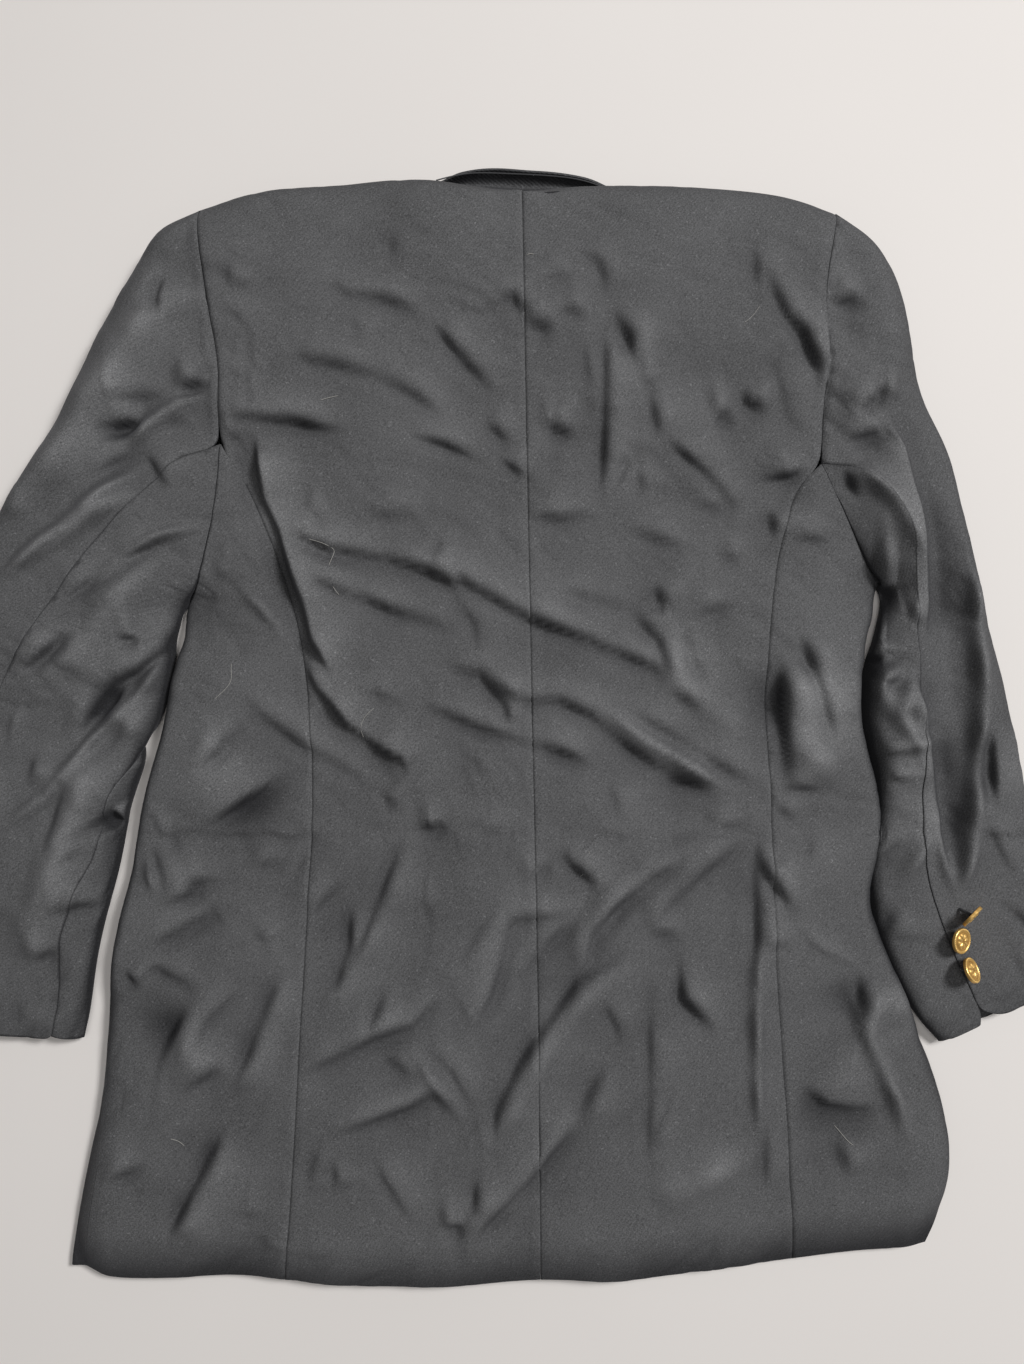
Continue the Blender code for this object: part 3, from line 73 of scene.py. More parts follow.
gabardine = {
    "deep": "#29292b",    # charcoal of the painted shade in folds, on down-turned slopes, along the hem and near the floor
    "paintedLight": "#747475",    # painted light on crests; flat cloth lies between the two
    "twillGap": 1.9,      # mm; the real lines are 0.6 apart, drawn as coarse as they need to show
    "twillDepth": 0.10,   # mm
    "yarn": 0.9,          # mm; real yarns are 0.3, drawn coarser for the same reason
    "lint": 1.5,          # mm, the size of the pale specks that wool picks up
    "patchTone": 0.55,    # how much each pattern lightens the cloth
    "twillTone": 0.05,
    "lintTone": 0.7,
    "yarnTone": 2.5,
    "evenTone": -0.51,    # brings the sum of the patterns back to about 1
    "nap": 0.16,          # sheen of the raised fibres
}
patterns = {"wobble": 3.846, "patch": 62.5, "ply": 1.111, "board": 333.3}  # mm, one cell of each noise


def gabardineMaterial(name, grain, cloth=gabardine, felt=False):
    # wool gabardine: a steep, hard twill pressed flat, so it is matt with a soft sheen; its colour also
    # carries painted light on crests and painted shade in folds
    # grain is the way across the twill lines; its z part keeps them even where the cloth turns down
    material = newMaterial(name)
    place = addNode(material, "ShaderNodeTexCoord").outputs["Object"]
    across = Vector(grain).normalized() / (cloth["twillGap"] * mm)
    line = addNode(material, "ShaderNodeVectorMath", {0: place, 1: across},
                   operation="DOT_PRODUCT").outputs["Value"]
    wobble = addNode(material, "ShaderNodeTexNoise", {
        "Vector": place, "Scale": 1 / (patterns["wobble"] * mm), "Detail": 2.0}).outputs["Fac"]
    line = addNode(material, "ShaderNodeMath", {0: wobble, 1: 0.5, 2: line},
                   operation="MULTIPLY_ADD").outputs[0]
    line = addNode(material, "ShaderNodeMath", {0: line, 1: 2 * pi}, operation="MULTIPLY").outputs[0]
    twill = addNode(material, "ShaderNodeMath", {0: line}, operation="SINE").outputs[0]
    yarn = addNode(material, "ShaderNodeTexNoise", {"Vector": place, "Scale": 1 / (cloth["yarn"] * mm),
                                                    "Detail": 3.0, "Roughness": 0.7}).outputs["Fac"]
    patch = addNode(material, "ShaderNodeTexNoise", {
        "Vector": place, "Scale": 1 / (patterns["patch"] * mm), "Detail": 4.0}).outputs["Fac"]
    speck = addNode(material, "ShaderNodeTexNoise", {"Vector": place, "Scale": 1 / (cloth["lint"] * mm),
                                                     "Detail": 1.0}).outputs["Fac"]
    lint = addNode(material, "ShaderNodeMapRange", {"Value": speck, "From Min": 0.66,
                                                    "From Max": 0.76}).outputs[0]
    shadeAndPolish = addNode(material, "ShaderNodeAttribute", attribute_name="shadeAndPolish").outputs["Fac"]
    # painted shade and painted light: the stored value mixes the charcoal shade with the lit tone
    shade = addNode(material, "ShaderNodeMix", {0: shadeAndPolish, 6: toLinear(cloth["deep"]),
                                                7: toLinear(cloth["paintedLight"])}, data_type="RGBA").outputs[2]
    # slow patches where the nap lies differently, then the twill, the lint and the yarns over them
    tone = cloth["evenTone"]
    for pattern, share in ((patch, "patchTone"), (twill, "twillTone"), (lint, "lintTone"),
                           (yarn, "yarnTone")):
        tone = addNode(material, "ShaderNodeMath", {0: pattern, 1: cloth[share], 2: tone},
                       operation="MULTIPLY_ADD").outputs[0]
    colour = addNode(material, "ShaderNodeVectorMath", {0: shade, "Scale": tone},
                     operation="SCALE").outputs[0]
    height = addNode(material, "ShaderNodeMath", {0: twill, 1: 0.5, 2: yarn},
                     operation="MULTIPLY_ADD").outputs[0]
    bump = addNode(material, "ShaderNodeBump", {"Height": height, "Strength": 0.55 if felt else 0.35,
                                                "Distance": cloth["twillDepth"] * (3 if felt else 1) * mm})
    shader = addNode(material, "ShaderNodeBsdfPrincipled", {
        "Base Color": colour, "Normal": bump.outputs[0], "Roughness": 0.86, "IOR": 1.45,
        "Specular IOR Level": 0.25, "Sheen Weight": cloth["nap"], "Sheen Roughness": 0.45,
        "Sheen Tint": toLinear("#b9b9bf")})
    return finishMaterial(material, shader)


gilt = {"ground": "#b5823a", "crest": "#f4cc7e", "speck": 0.5, "speckDepth": 0.05}  # the last two in mm


def giltMaterial():
    # gilt brass, stamped: bright on its relief, and brown where polish doesn't reach
    material = newMaterial("gilt_brass_stamped")
    place = addNode(material, "ShaderNodeTexCoord").outputs["Object"]
    relief = addNode(material, "ShaderNodeAttribute", attribute_name="shadeAndPolish").outputs["Fac"]
    speck = addNode(material, "ShaderNodeTexNoise", {"Vector": place, "Scale": 1 / (gilt["speck"] * mm),
                                                     "Detail": 3.0}).outputs["Fac"]
    colour = addNode(material, "ShaderNodeMix", {0: relief, 6: toLinear(gilt["ground"]),
                                                 7: toLinear(gilt["crest"])}, data_type="RGBA").outputs[2]
    rough = addNode(material, "ShaderNodeMapRange", {"Value": speck, "To Min": 0.22, "To Max": 0.46})
    bump = addNode(material, "ShaderNodeBump", {"Height": speck, "Strength": 0.2,
                                                "Distance": gilt["speckDepth"] * mm})
    shader = addNode(material, "ShaderNodeBsdfPrincipled", {
        "Base Color": colour, "Normal": bump.outputs[0], "Roughness": rough.outputs[0], "Metallic": 0.6})
    return finishMaterial(material, shader)


def threadMaterial(name, dark, pale):
    # spun polyester or a loose wool hair: fine, soft and a little glossy
    material = newMaterial(name)
    place = addNode(material, "ShaderNodeTexCoord").outputs["Object"]
    ply = addNode(material, "ShaderNodeTexNoise", {"Vector": place,
                                                   "Scale": 1 / (patterns["ply"] * mm)}).outputs["Fac"]
    tint = addNode(material, "ShaderNodeMix", {0: ply, 6: toLinear(dark), 7: toLinear(pale)},
                   data_type="RGBA").outputs[2]
    shader = addNode(material, "ShaderNodeBsdfPrincipled", {"Base Color": tint, "Roughness": 0.6,
                                                            "Sheen Weight": 0.3})
    return finishMaterial(material, shader)


def floorMaterial():
    # matt painted board, as good as white, with the faintest unevenness
    material = newMaterial("matt_white_board")
    place = addNode(material, "ShaderNodeTexCoord").outputs["Object"]
    patch = addNode(material, "ShaderNodeTexNoise", {
        "Vector": place, "Scale": 1 / (patterns["board"] * mm), "Detail": 2.0}).outputs["Fac"]
    paint = addNode(material, "ShaderNodeMix", {0: patch, 6: toLinear("#e9e4e0"), 7: toLinear("#efeae6")},
                    data_type="RGBA").outputs[2]
    shader = addNode(material, "ShaderNodeBsdfPrincipled", {"Base Color": paint, "Roughness": 0.9})
    return finishMaterial(material, shader)


# The kinds of fold: half width, and height (down is minus). A ledge is cloth folded over, which stands high
# to the left of the line's own way.
foldKinds = {
    "soft": (3.6, -2.6), "pressed": (3.8, -4.3), "deep": (7.0, -7.5), "wide": (11, -6.0),
    "faint": (4.4, -1.6), "ridge": (4.0, 2.9), "crest": (5.0, 4.6), "swell": (12, 4.8), "ledge": (20, 5.5),
}
# how much of a crease's depth goes to each part of its form
creaseForm = {"line": 0.30, "hollow": 0.22, "bank": 0.60}
foldGain = 1.35     # all folds, against the kinds' own heights
shadeGain = 0.06    # painted light and shade: how much a fold's height lightens the cloth on a crest and darkens it in a trough, per mm

# Folds: the lines of each kind as seen from above.
bodyFolds = {
    "soft": [
        [(-124, 257), (-119, 259), (-106, 251), (-86, 248), (-70, 243), (-53, 236)],
        [(-154, 211), (-122, 207), (-89, 199), (-63, 186), (-44, 172), (-37, 168)],
        [(-185, 158), (-177, 161)], [(-21, 168), (-11, 164), (0, 153)],
        [(-33, 239), (-18, 241), (1, 249), (5, 242), (8, 220)], [(-73, 162), (-44, 154), (-14, 141)],
        [(-11, 148), (10, 132)], [(-99, 109), (-53, 108)], [(-135, 108), (-119, 109)],
        [(-55, 73), (-50, 83), (-44, 96)], [(-21, 4), (5, -12), (18, -13)],
        [(-106, -3), (-73, -13), (-61, -14)],
        [(-179, -7), (-161, -25), (-135, -44), (-122, -50), (-89, -69)], [(-86, -74), (-75, -83)],
        [(-27, -96), (-14, -98), (12, -93)], [(42, 281), (56, 271), (59, 265), (61, 249)],
        [(12, 261), (41, 263)], [(28, 242), (50, 238)], [(60, 229), (61, 197), (60, 158), (58, 112)],
        [(83, 195), (96, 196)], [(87, 194), (93, 171), (96, 158)],
        [(96, 161), (123, 138), (145, 115), (154, 111)], [(113, 115), (152, 113)], [(80, 151), (66, 122)],
        [(129, 86), (152, 77)], [(23, 61), (57, 53), (83, 47)], [(91, 63), (102, 47)],
        [(111, 44), (116, 18), (134, -12)], [(116, 45), (145, 49)], [(102, -5), (129, -22)],
        [(57, -10), (74, -20), (100, -33), (123, -48), (162, -69)], [(83, -62), (116, -66), (136, -75)],
        [(-8, -15), (0, -28)], [(178, 93), (211, 93)], [(171, -79), (186, -93)],
        [(160, -171), (184, -173)], [(214, -298), (220, -328)], [(160, -103), (160, -214)],
        [(166, -285), (166, -338)], [(-229, -105), (-220, -100)], [(-236, -106), (-227, -139)],
        [(-171, -123), (-145, -115)], [(-252, -184), (-220, -165), (-181, -142)],
        [(-249, -181), (-200, -205)], [(-255, -191), (-244, -201)], [(-166, -165), (-163, -171)],
        [(-223, -272), (-200, -259), (-184, -243)], [(-269, -331), (-239, -315)],
        [(-132, -155), (-109, -126)], [(-70, -100), (-83, -132), (-98, -171), (-106, -188)],
        [(-80, -197), (-96, -233)], [(-89, -243), (-57, -266)], [(-60, -237), (-40, -256), (-24, -285)],
        [(-124, -298), (-136, -331)], [(-115, -312), (-117, -331)], [(-93, -312), (-66, -357)],
        [(-8, -145), (-37, -188)],
        [(52, -147), (25, -154), (0, -158), (-6, -184), (-13, -207), (-24, -227), (-40, -228)],
        [(51, -147), (31, -165), (-5, -204)], [(8, -132), (27, -117)], [(155, -90), (129, -100)],
        [(155, -103), (126, -126), (93, -158), (83, -164)], [(83, -164), (116, -167)],
        [(59, -207), (74, -240)], [(64, -246), (38, -295)], [(-22, -325), (-26, -349)]],
    "pressed": [
        [(-53, 236), (-42, 221), (-26, 203), (-10, 187)],
        [(-192, 173), (-177, 172), (-138, 169), (-125, 166), (-104, 164)],
        [(-158, 100), (-139, 94), (-119, 86), (-89, 81), (-57, 73), (-39, 64), (-33, 65), (-14, 55),
         (10, 40)],
        [(-138, 70), (-109, 58), (-80, 47), (-47, 36), (-37, 35)],
        [(-46, 10), (-21, 4), (-5, -15), (2, -28)], [(-61, -14), (-37, -25), (-21, -31), (18, -43)],
        [(-174, -23), (-194, -48), (-210, -63)], [(-66, -93), (-53, -96), (-40, -91)],
        [(8, 232), (22, 230), (31, 226)], [(61, 245), (69, 235), (76, 224), (80, 202)],
        [(129, 171), (145, 175)], [(149, 192), (153, 182), (160, 179), (169, 175)],
        [(164, 265), (178, 236), (188, 226), (199, 200), (199, 187)],
        [(157, 131), (181, 134), (194, 140)], [(16, 164), (25, 166), (44, 160)],
        [(8, 109), (31, 106), (57, 110)], [(70, 102), (90, 94), (115, 87)],
        [(-8, 50), (22, 37), (54, 25), (90, 10), (104, 1)], [(83, 50), (82, 40), (96, 27), (104, 1)],
        [(-8, -12), (31, -13), (51, -22), (70, -38), (93, -54), (123, -68), (132, -75)],
        [(2, -38), (31, -46), (57, -56)], [(167, 115), (172, 93)],
        [(188, 34), (197, 8), (207, -25), (212, -44)], [(175, -70), (204, -70)],
        [(160, -103), (165, -123), (178, -142), (186, -162)],
        [(-233, -150), (-211, -140), (-207, -132), (-185, -129)],
        [(-151, -191), (-161, -211), (-174, -246), (-187, -269)],
        [(-177, -201), (-197, -220), (-213, -246)],
        [(-187, -292), (-200, -315), (-216, -347), (-229, -370)],
        [(-106, -145), (-107, -175), (-115, -197), (-136, -203)],
        [(-138, -259), (-112, -246), (-91, -235), (-63, -225), (-44, -201)],
        [(-122, -298), (-96, -290), (-66, -279), (-53, -272), (-31, -292)],
        [(27, -106), (38, -119), (61, -139)],
        [(113, -116), (93, -128), (70, -147), (54, -165), (46, -191)],
        [(78, -178), (57, -188), (43, -197), (28, -217), (5, -250), (-10, -282), (-14, -302)],
        [(109, -178), (111, -207), (137, -235)], [(-47, -359), (-31, -356)],
        [(-27, -370), (-14, -354), (12, -328), (35, -300), (51, -278)]],
    "faint": [
        [(-201, 201), (-194, 201)], [(-185, 199), (-175, 197)], [(-169, 202), (-160, 203)],
        [(-175, 190), (-164, 186)], [(-106, 239), (-94, 216)], [(-76, 291), (-78, 274)],
        [(-182, 269), (-184, 255)], [(-187, 246), (-163, 220)], [(-40, 60), (-24, 37), (-22, 18)],
        [(-200, 74), (-188, 68)], [(-40, -41), (-24, -51), (-14, -77)], [(-37, -48), (-21, -77)],
        [(46, 226), (52, 187)], [(156, 288), (160, 246)], [(168, 216), (180, 174), (197, 154)],
        [(51, 181), (53, 171)], [(83, 145), (85, 119)], [(61, -61), (74, -93)], [(196, -90), (193, -142)],
        [(-177, -349), (-171, -350)], [(-161, -364), (-163, -373)], [(-60, -149), (-50, -150)],
        [(91, -189), (90, -328)], [(-19, -310), (-8, -305)]],
    "ledge": [
        [(-169, 164), (-163, 119), (-154, 99), (-145, 70), (-138, 50), (-132, 27), (-122, 11), (-117, 1)],
        [(-139, 18), (-128, -5), (-119, -15), (-109, -28), (-86, -44), (-73, -51), (-65, -65)]],
    "wide": [
        [(-210, -100), (-194, -90), (-164, -70), (-145, -54)], [(176, 18), (178, -25), (181, -67)],
        [(228, -188), (231, -230)], [(188, -263), (207, -278), (224, -281), (243, -279)],
        [(-236, -256), (-210, -211)]],
    "ridge": [
        [(-184, 66), (-163, 49), (-145, 25)], [(57, -15), (90, -38), (149, -74)],
        [(188, -155), (201, -171), (230, -186)], [(235, -191), (237, -233)],
        [(160, -168), (160, -233), (162, -298)], [(-239, -116), (-233, -139)], [(-66, -240), (-40, -276)]],
    "swell": [
        [(104, 40), (109, 1), (142, -25), (155, -38)], [(181, 21), (190, -38), (214, -70)],
        [(89, -338), (116, -328), (162, -302)]],
    "crest": [
        [(220, -188), (233, -233), (252, -272), (261, -305)]],
}

leftSleeveFolds = {
    "swell": [
        [(-232, 277), (-236, 252), (-233, 238), (-242, 222), (-255, 202), (-271, 184), (-278, 169),
         (-298, 142), (-337, 107)],
        [(-222, 87), (-255, 54), (-284, 14), (-324, -7)],
        [(-278, -41), (-281, -78), (-298, -117), (-314, -163), (-324, -183)],
        [(-340, -51), (-357, -104), (-367, -163)]],
    "deep": [
        [(-224, 263), (-228, 248), (-225, 232)], [(-273, 166), (-258, 167), (-238, 171)],
        [(-252, 1), (-259, -12), (-273, -30)], [(-263, -83), (-256, -95)]],
    "faint": [
        [(-203, 204), (-192, 204)], [(-324, -209), (-327, -229)]],
    "pressed": [
        [(-219, 188), (-194, 195)], [(-240, 151), (-259, 143), (-275, 131)], [(-238, 149), (-222, 124)],
        [(-281, 38), (-301, 21), (-324, 1)],
        [(-212, 46), (-229, 22), (-245, 7), (-261, -1), (-277, -24), (-286, -43)],
        [(-304, -153), (-284, -147), (-265, -146)], [(-344, -25), (-370, -51), (-383, -78)],
        [(-331, -144), (-357, -163), (-383, -167)]],
    "soft": [
        [(-268, 183), (-219, 186)], [(-205, 169), (-229, 166)],
        [(-215, 97), (-255, 80), (-288, 56), (-301, 54)], [(-258, 28), (-242, 29)],
        [(-312, -48), (-317, -65)], [(-291, -65), (-306, -111)], [(-275, -103), (-298, -121)],
        [(-298, -173), (-317, -186)], [(-350, 47), (-367, 14), (-377, -12)], [(-347, -111), (-377, -130)],
        [(-340, -203), (-373, -193)]],
    "crest": [
        [(-196, 189), (-225, 174), (-245, 159), (-271, 153)], [(-235, 128), (-271, 109), (-310, 79)],
        [(-238, 140), (-275, 115), (-317, 80), (-337, 65)]],
    "ridge": [
        [(-199, 103), (-232, 94), (-261, 74), (-278, 61)],
        [(-229, 18), (-245, -9), (-275, -38), (-304, -74), (-337, -99)], [(-321, -15), (-329, -41)]],
}

rightSleeveFolds = {
    "pressed": [
        [(206, 244), (230, 249)], [(248, 205), (236, 185), (222, 171), (215, 167)],
        [(211, 154), (235, 161), (248, 162)], [(244, -56), (244, -64)],
        [(265, -100), (248, -116), (230, -122)]],
    "crest": [
        [(247, 205), (240, 177)], [(222, 142), (245, 119), (267, 80)], [(258, 14), (240, 1), (248, -22)],
        [(259, 5), (253, -22), (268, -51)],
        [(301, 80), (304, 34), (306, -5), (304, -51), (301, -110), (292, -150)]],
    "soft": [
        [(215, 139), (225, 119)], [(234, 31), (242, 33)], [(260, 39), (268, 41)], [(257, 5), (243, -5)],
        [(258, -9), (261, -35)], [(311, -91), (330, -127)], [(320, -143), (353, -169)],
        [(258, -146), (251, -169)]],
    "ledge": [
        [(272, 28), (273, 54), (272, 70), (265, 113), (255, 152), (244, 173)],
        [(288, -130), (284, -110), (280, -71), (269, -18), (260, 11)]],
    "deep": [
        [(238, 60), (253, 62)], [(230, 18), (245, 16)], [(238, -36), (240, -51)]],
    "ridge": [
        [(232, 24), (258, 22)], [(276, -97), (255, -140)], [(278, -97), (293, -145)]],
    "wide": [
        [(311, -25), (317, -84)]],
    "faint": [
        [(327, -169), (340, -199)]],
}

# Seams pressed flat, as seen from above. A sleeve head is eased in, so its seam is the heavier.
seamLines = {
    "centre_back": {"heavy": 1.0, "line": [(7, 321), (9, 184), (13, -12), (17, -207), (19, -393)]},
    "left_back_side": {"heavy": 1.0, "line": [
        (-150, -391), (-145, -339), (-140, -243), (-137, -182), (-131, -103), (-132, -37), (-137, 22),
        (-149, 65), (-164, 107), (-174, 130), (-190, 155)]},
    "right_back_side": {"heavy": 1.0, "line": [
        (186, -378), (184, -339), (179, -266), (173, -182), (170, -90), (167, -12), (170, 52), (176, 93),
        (186, 126), (201, 142)]},
    "left_armhole": {"heavy": 3.2, "line": [
        (-190, 154), (-191, 184), (-190, 202), (-196, 237), (-201, 282), (-203, 305)]},
    "right_armhole": {"heavy": 3.2, "line": [
        (201, 141), (201, 168), (206, 210), (200, 240), (203, 274), (212, 303)]},
}
seamForm = {
    "trough": 0.32, "troughWidth": 1.3, "lip": 0.20, "lipAt": 4.6, "lipWidth": 2.6,
    "pucker": 0.16, "puckerWidth": 8.0, "stitch": 3.1,
}

# What each cloth piece is cut to (metres, square metres), its subdivision, what it lies on and its folds.
clothPieces = {
    "back_left": {"flat": (0.232, 0.755), "area": 0.126, "level": 3,
                  "on": ["front_left"], "folds": bodyFolds},
    "back_right": {"flat": (0.214, 0.750), "area": 0.125, "level": 3,
                   "on": ["front_right"], "folds": bodyFolds},
    "side_left": {"flat": (0.190, 0.560), "area": 0.065, "level": 3,
                  "on": ["front_left"], "folds": bodyFolds},
    "side_right": {"flat": (0.165, 0.535), "area": 0.057, "level": 3,
                   "on": ["front_right"], "folds": bodyFolds},
    "front_left": {"flat": (0.355, 0.745), "area": 0.180, "level": 2,
                   "on": ["floor"], "folds": bodyFolds},
    "front_right": {"flat": (0.290, 0.735), "area": 0.153, "level": 2,
                    "on": ["floor"], "folds": bodyFolds},
    "lapel_left": {"flat": (0.125, 0.155), "area": 0.0088, "level": 2,
                   "on": ["floor"], "folds": {}},
    "lapel_right": {"flat": (0.140, 0.235), "area": 0.0119, "level": 2,
                    "on": ["floor"], "folds": {}},
    "collar": {"flat": (0.255, 0.060), "area": 0.0068, "level": 3,
               "on": ["floor"], "folds": {}},
    "sleeve_left_top": {"flat": (0.285, 0.660), "area": 0.117, "level": 3,
                        "on": ["floor"], "folds": leftSleeveFolds},
    "sleeve_left_under": {"flat": (0.150, 0.480), "area": 0.038, "level": 3,
                          "on": ["floor"], "folds": leftSleeveFolds},
    "sleeve_right_top": {"flat": (0.220, 0.610), "area": 0.079, "level": 3,
                         "on": ["floor"], "folds": rightSleeveFolds},
    "sleeve_right_under": {"flat": (0.115, 0.440), "area": 0.024, "level": 3,
                           "on": ["floor"], "folds": rightSleeveFolds},
}
hemLine = [(-293, -386), (-267, -400), (-246, -399), (-167, -397), (-114, -405), (-37, -406), (20, -402),
           (77, -402), (138, -393), (190, -385), (225, -380), (264, -378), (274, -374)]
# the hem band's width and drop in mm, and how much painted shade it gets
hemForm = {"band": 38, "drop": 4.0, "shade": 0.26}
linerGap = 5.2    # the least height over the floor that the upper cloth keeps for the cloth below it
napTone = 0.52    # the nap on flat cloth: its tone between the deep painted shade and the painted light
# the way across the twill lines on each piece: they run steeply up to the right of the cloth's length
grains = {"back": (0.80, -0.60, 0.55), "side": (0.75, -0.66, 0.55), "front": (0.80, -0.60, 0.55),
          "lapel": (0.75, 0.66, 0.5), "collar": (0.66, 0.75, 0.5), "sleeve_left": (0.55, -0.83, 0.5),
          "sleeve_right": (0.92, -0.38, 0.55)}


def softStep(value, low, high):
    part = np.clip((value - low) / (high - low), 0, 1)
    return part * part * (3 - 2 * part)


def lineDistance(flat, points):
    # for each place: distance to the line, length along it, and the way out from it; then the whole length
    points = np.array(points, float)
    best = np.full(len(flat), 1e9)
    along, away = np.zeros(len(flat)), np.zeros((len(flat), 2))
    done = 0.0
    for start, end in zip(points[:-1], points[1:]):
        step = end - start
        length = np.linalg.norm(step)
        part = np.clip((flat - start) @ step / length ** 2, 0, 1)
        out = flat - start - part[:, None] * step
        distance = np.linalg.norm(out, axis=1)
        closer = distance < best
        best[closer], away[closer] = distance[closer], out[closer]
        along[closer] = done + part[closer] * length
        done += length
    return best, along, away, done


def creaseShape(side, best, own):
    # a sharp line with a low hollow beside it; the cloth beyond stands higher in a wide, slow bank
    line = creaseForm["line"] * np.exp(-(best / own) ** 2)
    hollow = creaseForm["hollow"] * np.exp(-((best - 2.6 * own) / (1.6 * own)) ** 2)
    bank = creaseForm["bank"] * np.tanh(side / 2.1) * np.exp(-(best / (3.2 * own + 7)) ** 2)
    return line - hollow - bank


def ledgeShape(high, own):
    # a step up across the line that dies away slowly, with a shallow hollow at its foot
    step = softStep(high, -1.6, 3.2) * np.exp(-(np.maximum(high, 0) / own) ** 2)
    return step - 0.35 * np.exp(-((high + 7) / 7) ** 2)


def foldHeights(places, folds):
    # how far each place is lifted, in mm
    lift = np.zeros(len(places))
    count = 0
    for kind, lines in folds.items():
        width, depth = foldKinds[kind]
        reach = 3.0 * width if depth > 0 else 2.2 * (3.5 * width + 6)
        for line in lines:
            count += 1
            corners = np.array(line, float)
            near = np.flatnonzero(np.all((places[:, :2] > corners.min(axis=0) - reach)
                                         & (places[:, :2] < corners.max(axis=0) + reach), axis=1))
            if not len(near):
                continue
            best, along, away, total = lineDistance(places[near, :2], line)
            # each fold has its own size: the pitch of this wave differs from line to line
            size = 1 + 0.28 * np.sin(along / (7 + count % 5) + count * 1.7) + 0.12 * sin(count * 2.4)
            ends = softStep(along, -2, min(26, total / 2)) * softStep(total - along, -2, min(30, total / 2))
            own = width * (0.75 + 0.3 * ends)
            chord = corners[-1] - corners[0]
            if kind == "ledge":
                way = np.sign(-chord[1] * away[:, 0] + chord[0] * away[:, 1])
                shape = ledgeShape(way * best, own)
            elif depth < 0:
                # the bank is on the side that looks towards the collar end and the right sleeve
                out = np.array([-chord[1], chord[0]]) / max(np.linalg.norm(chord), 0.1)
                out = out if out @ np.array([0.6, 0.8]) > 0 else -out
                shape = creaseShape(away @ out, best, own)
            else:
                shape = np.exp(-(best / own) ** 2)
            lift[near] += depth * shape * size * ends
    return lift


def seamHeights(places):
    # the trough, lips and pucker of the pressed seams, in mm, and how near each place is to a seam
    heights, nearness = np.zeros(len(places)), np.zeros(len(places))
    for seam in seamLines.values():
        heavy = seam["heavy"]
        best, along = lineDistance(places[:, :2], seam["line"])[:2]
        nearness = np.maximum(nearness, np.exp(-(best / 2.4) ** 2))
        troughWidth = seamForm["troughWidth"] + 0.2 * heavy
        heights -= seamForm["trough"] * heavy * np.exp(-(best / troughWidth) ** 2)
        heights += seamForm["lip"] * np.exp(-((best - seamForm["lipAt"]) / seamForm["lipWidth"]) ** 2)
        wave = np.sin(along / seamForm["stitch"] + 0.8 * np.sin(along / 17))
        wave *= 0.5 + 0.5 * np.sin(along / 23)
        heights += seamForm["pucker"] * wave * np.exp(-(best / seamForm["puckerWidth"]) ** 2)
    return heights, nearness


cutEdge = {"room": 0.14, "crisp": 62, "largest": 60}  # mm, degrees and square mm


def copyNode(name):
    # a CAD node's mesh, mostly as quads, with crisp cut edges
    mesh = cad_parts[name].data.copy()
    piece = bpy.data.objects.new(name + "_cloth", mesh)
    bpy.context.scene.collection.objects.link(piece)
    mesh.materials.clear()
    shell = bmesh.new()
    shell.from_mesh(mesh)
    bmesh.ops.remove_doubles(shell, verts=shell.verts, dist=0.01 * mm)
    bmesh.ops.join_triangles(shell, faces=shell.faces, angle_face_threshold=radians(35),
                             angle_shape_threshold=radians(50))
    crisp = shell.edges.layers.float.new("crease_edge")
    for edge in shell.edges:
        if len(edge.link_faces) == 2 and edge.calc_face_angle() > radians(cutEdge["crisp"]):
            edge[crisp] = 1
    # each cut edge is let out until it meets its neighbour, so that a seam shows as a fine line
    push = {}
    for face in shell.faces:
        crispSides = sum(edge[crisp] > 0 for edge in face.edges)
        if crispSides >= 2 and face.calc_area() < cutEdge["largest"] * mm * mm:
            for vert in face.verts:
                push[vert] = push.get(vert, Vector()) + face.normal
    for vert, way in push.items():
        if way.length > 0.5:
            vert.co += way.normalized() * cutEdge["room"] * mm
    shell.to_mesh(mesh)
    shell.free()
    return piece


def applyModifier(piece, kind, **settings):
    bpy.ops.object.select_all(action="DESELECT")
    piece.select_set(True)
    bpy.context.view_layer.objects.active = piece
    modifier = piece.modifiers.new(kind.lower(), kind)
    for name, value in settings.items():
        setattr(modifier, name, value)
    bpy.ops.object.modifier_apply(modifier=modifier.name)


def coordinates(mesh):
    flat = np.zeros(len(mesh.vertices) * 3, np.float32)
    mesh.vertices.foreach_get("co", flat)
    return flat.reshape(-1, 3).astype(float)


def upwardness(mesh):
    # how far each point's normal looks up, from -1 to 1
    flat = np.zeros(len(mesh.vertices) * 3, np.float32)
    mesh.vertices.foreach_get("normal", flat)
    return flat[2::3]


def setCoordinates(mesh, places):
    mesh.vertices.foreach_set("co", (places * mm).astype(np.float32).ravel())
    mesh.update()


def storeShade(mesh, shade):
    # on the cloth this holds painted shade and light; on a button, the polish of its relief
    attribute = mesh.attributes.new("shadeAndPolish", "FLOAT", "POINT")
    attribute.data.foreach_set("value", np.clip(shade, 0, 1).astype(np.float32))


# where a sleeve lies against the body: the stretch of the side, and where the two meet under the arm
contacts = {
    "left": {"side": -1, "from": -30, "to": 62, "crotch": 40},
    "right": {"side": 1, "from": -226, "to": 66, "crotch": 41},
}
contactForm = {"rowStep": 18, "most": 11, "fade": 13, "crotchSwell": 2.6, "crotchReach": 11}


def edgeTable(nodes, side):
    # the outermost cloth of these nodes towards one side, row by row up the garment
    table = {}
    for node in nodes:
        for x, y in coordinates(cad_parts[node].data)[:, :2] / mm:
            row = round(y / contactForm["rowStep"])
            table[row] = max(table.get(row, -1e9), side * x)
    rows = sorted(table)
    edge = np.array([side * table[row] for row in rows])
    for _ in range(3):
        edge[1:-1] = 0.25 * edge[:-2] + 0.5 * edge[1:-1] + 0.25 * edge[2:]
    return [row * contactForm["rowStep"] for row in rows], edge


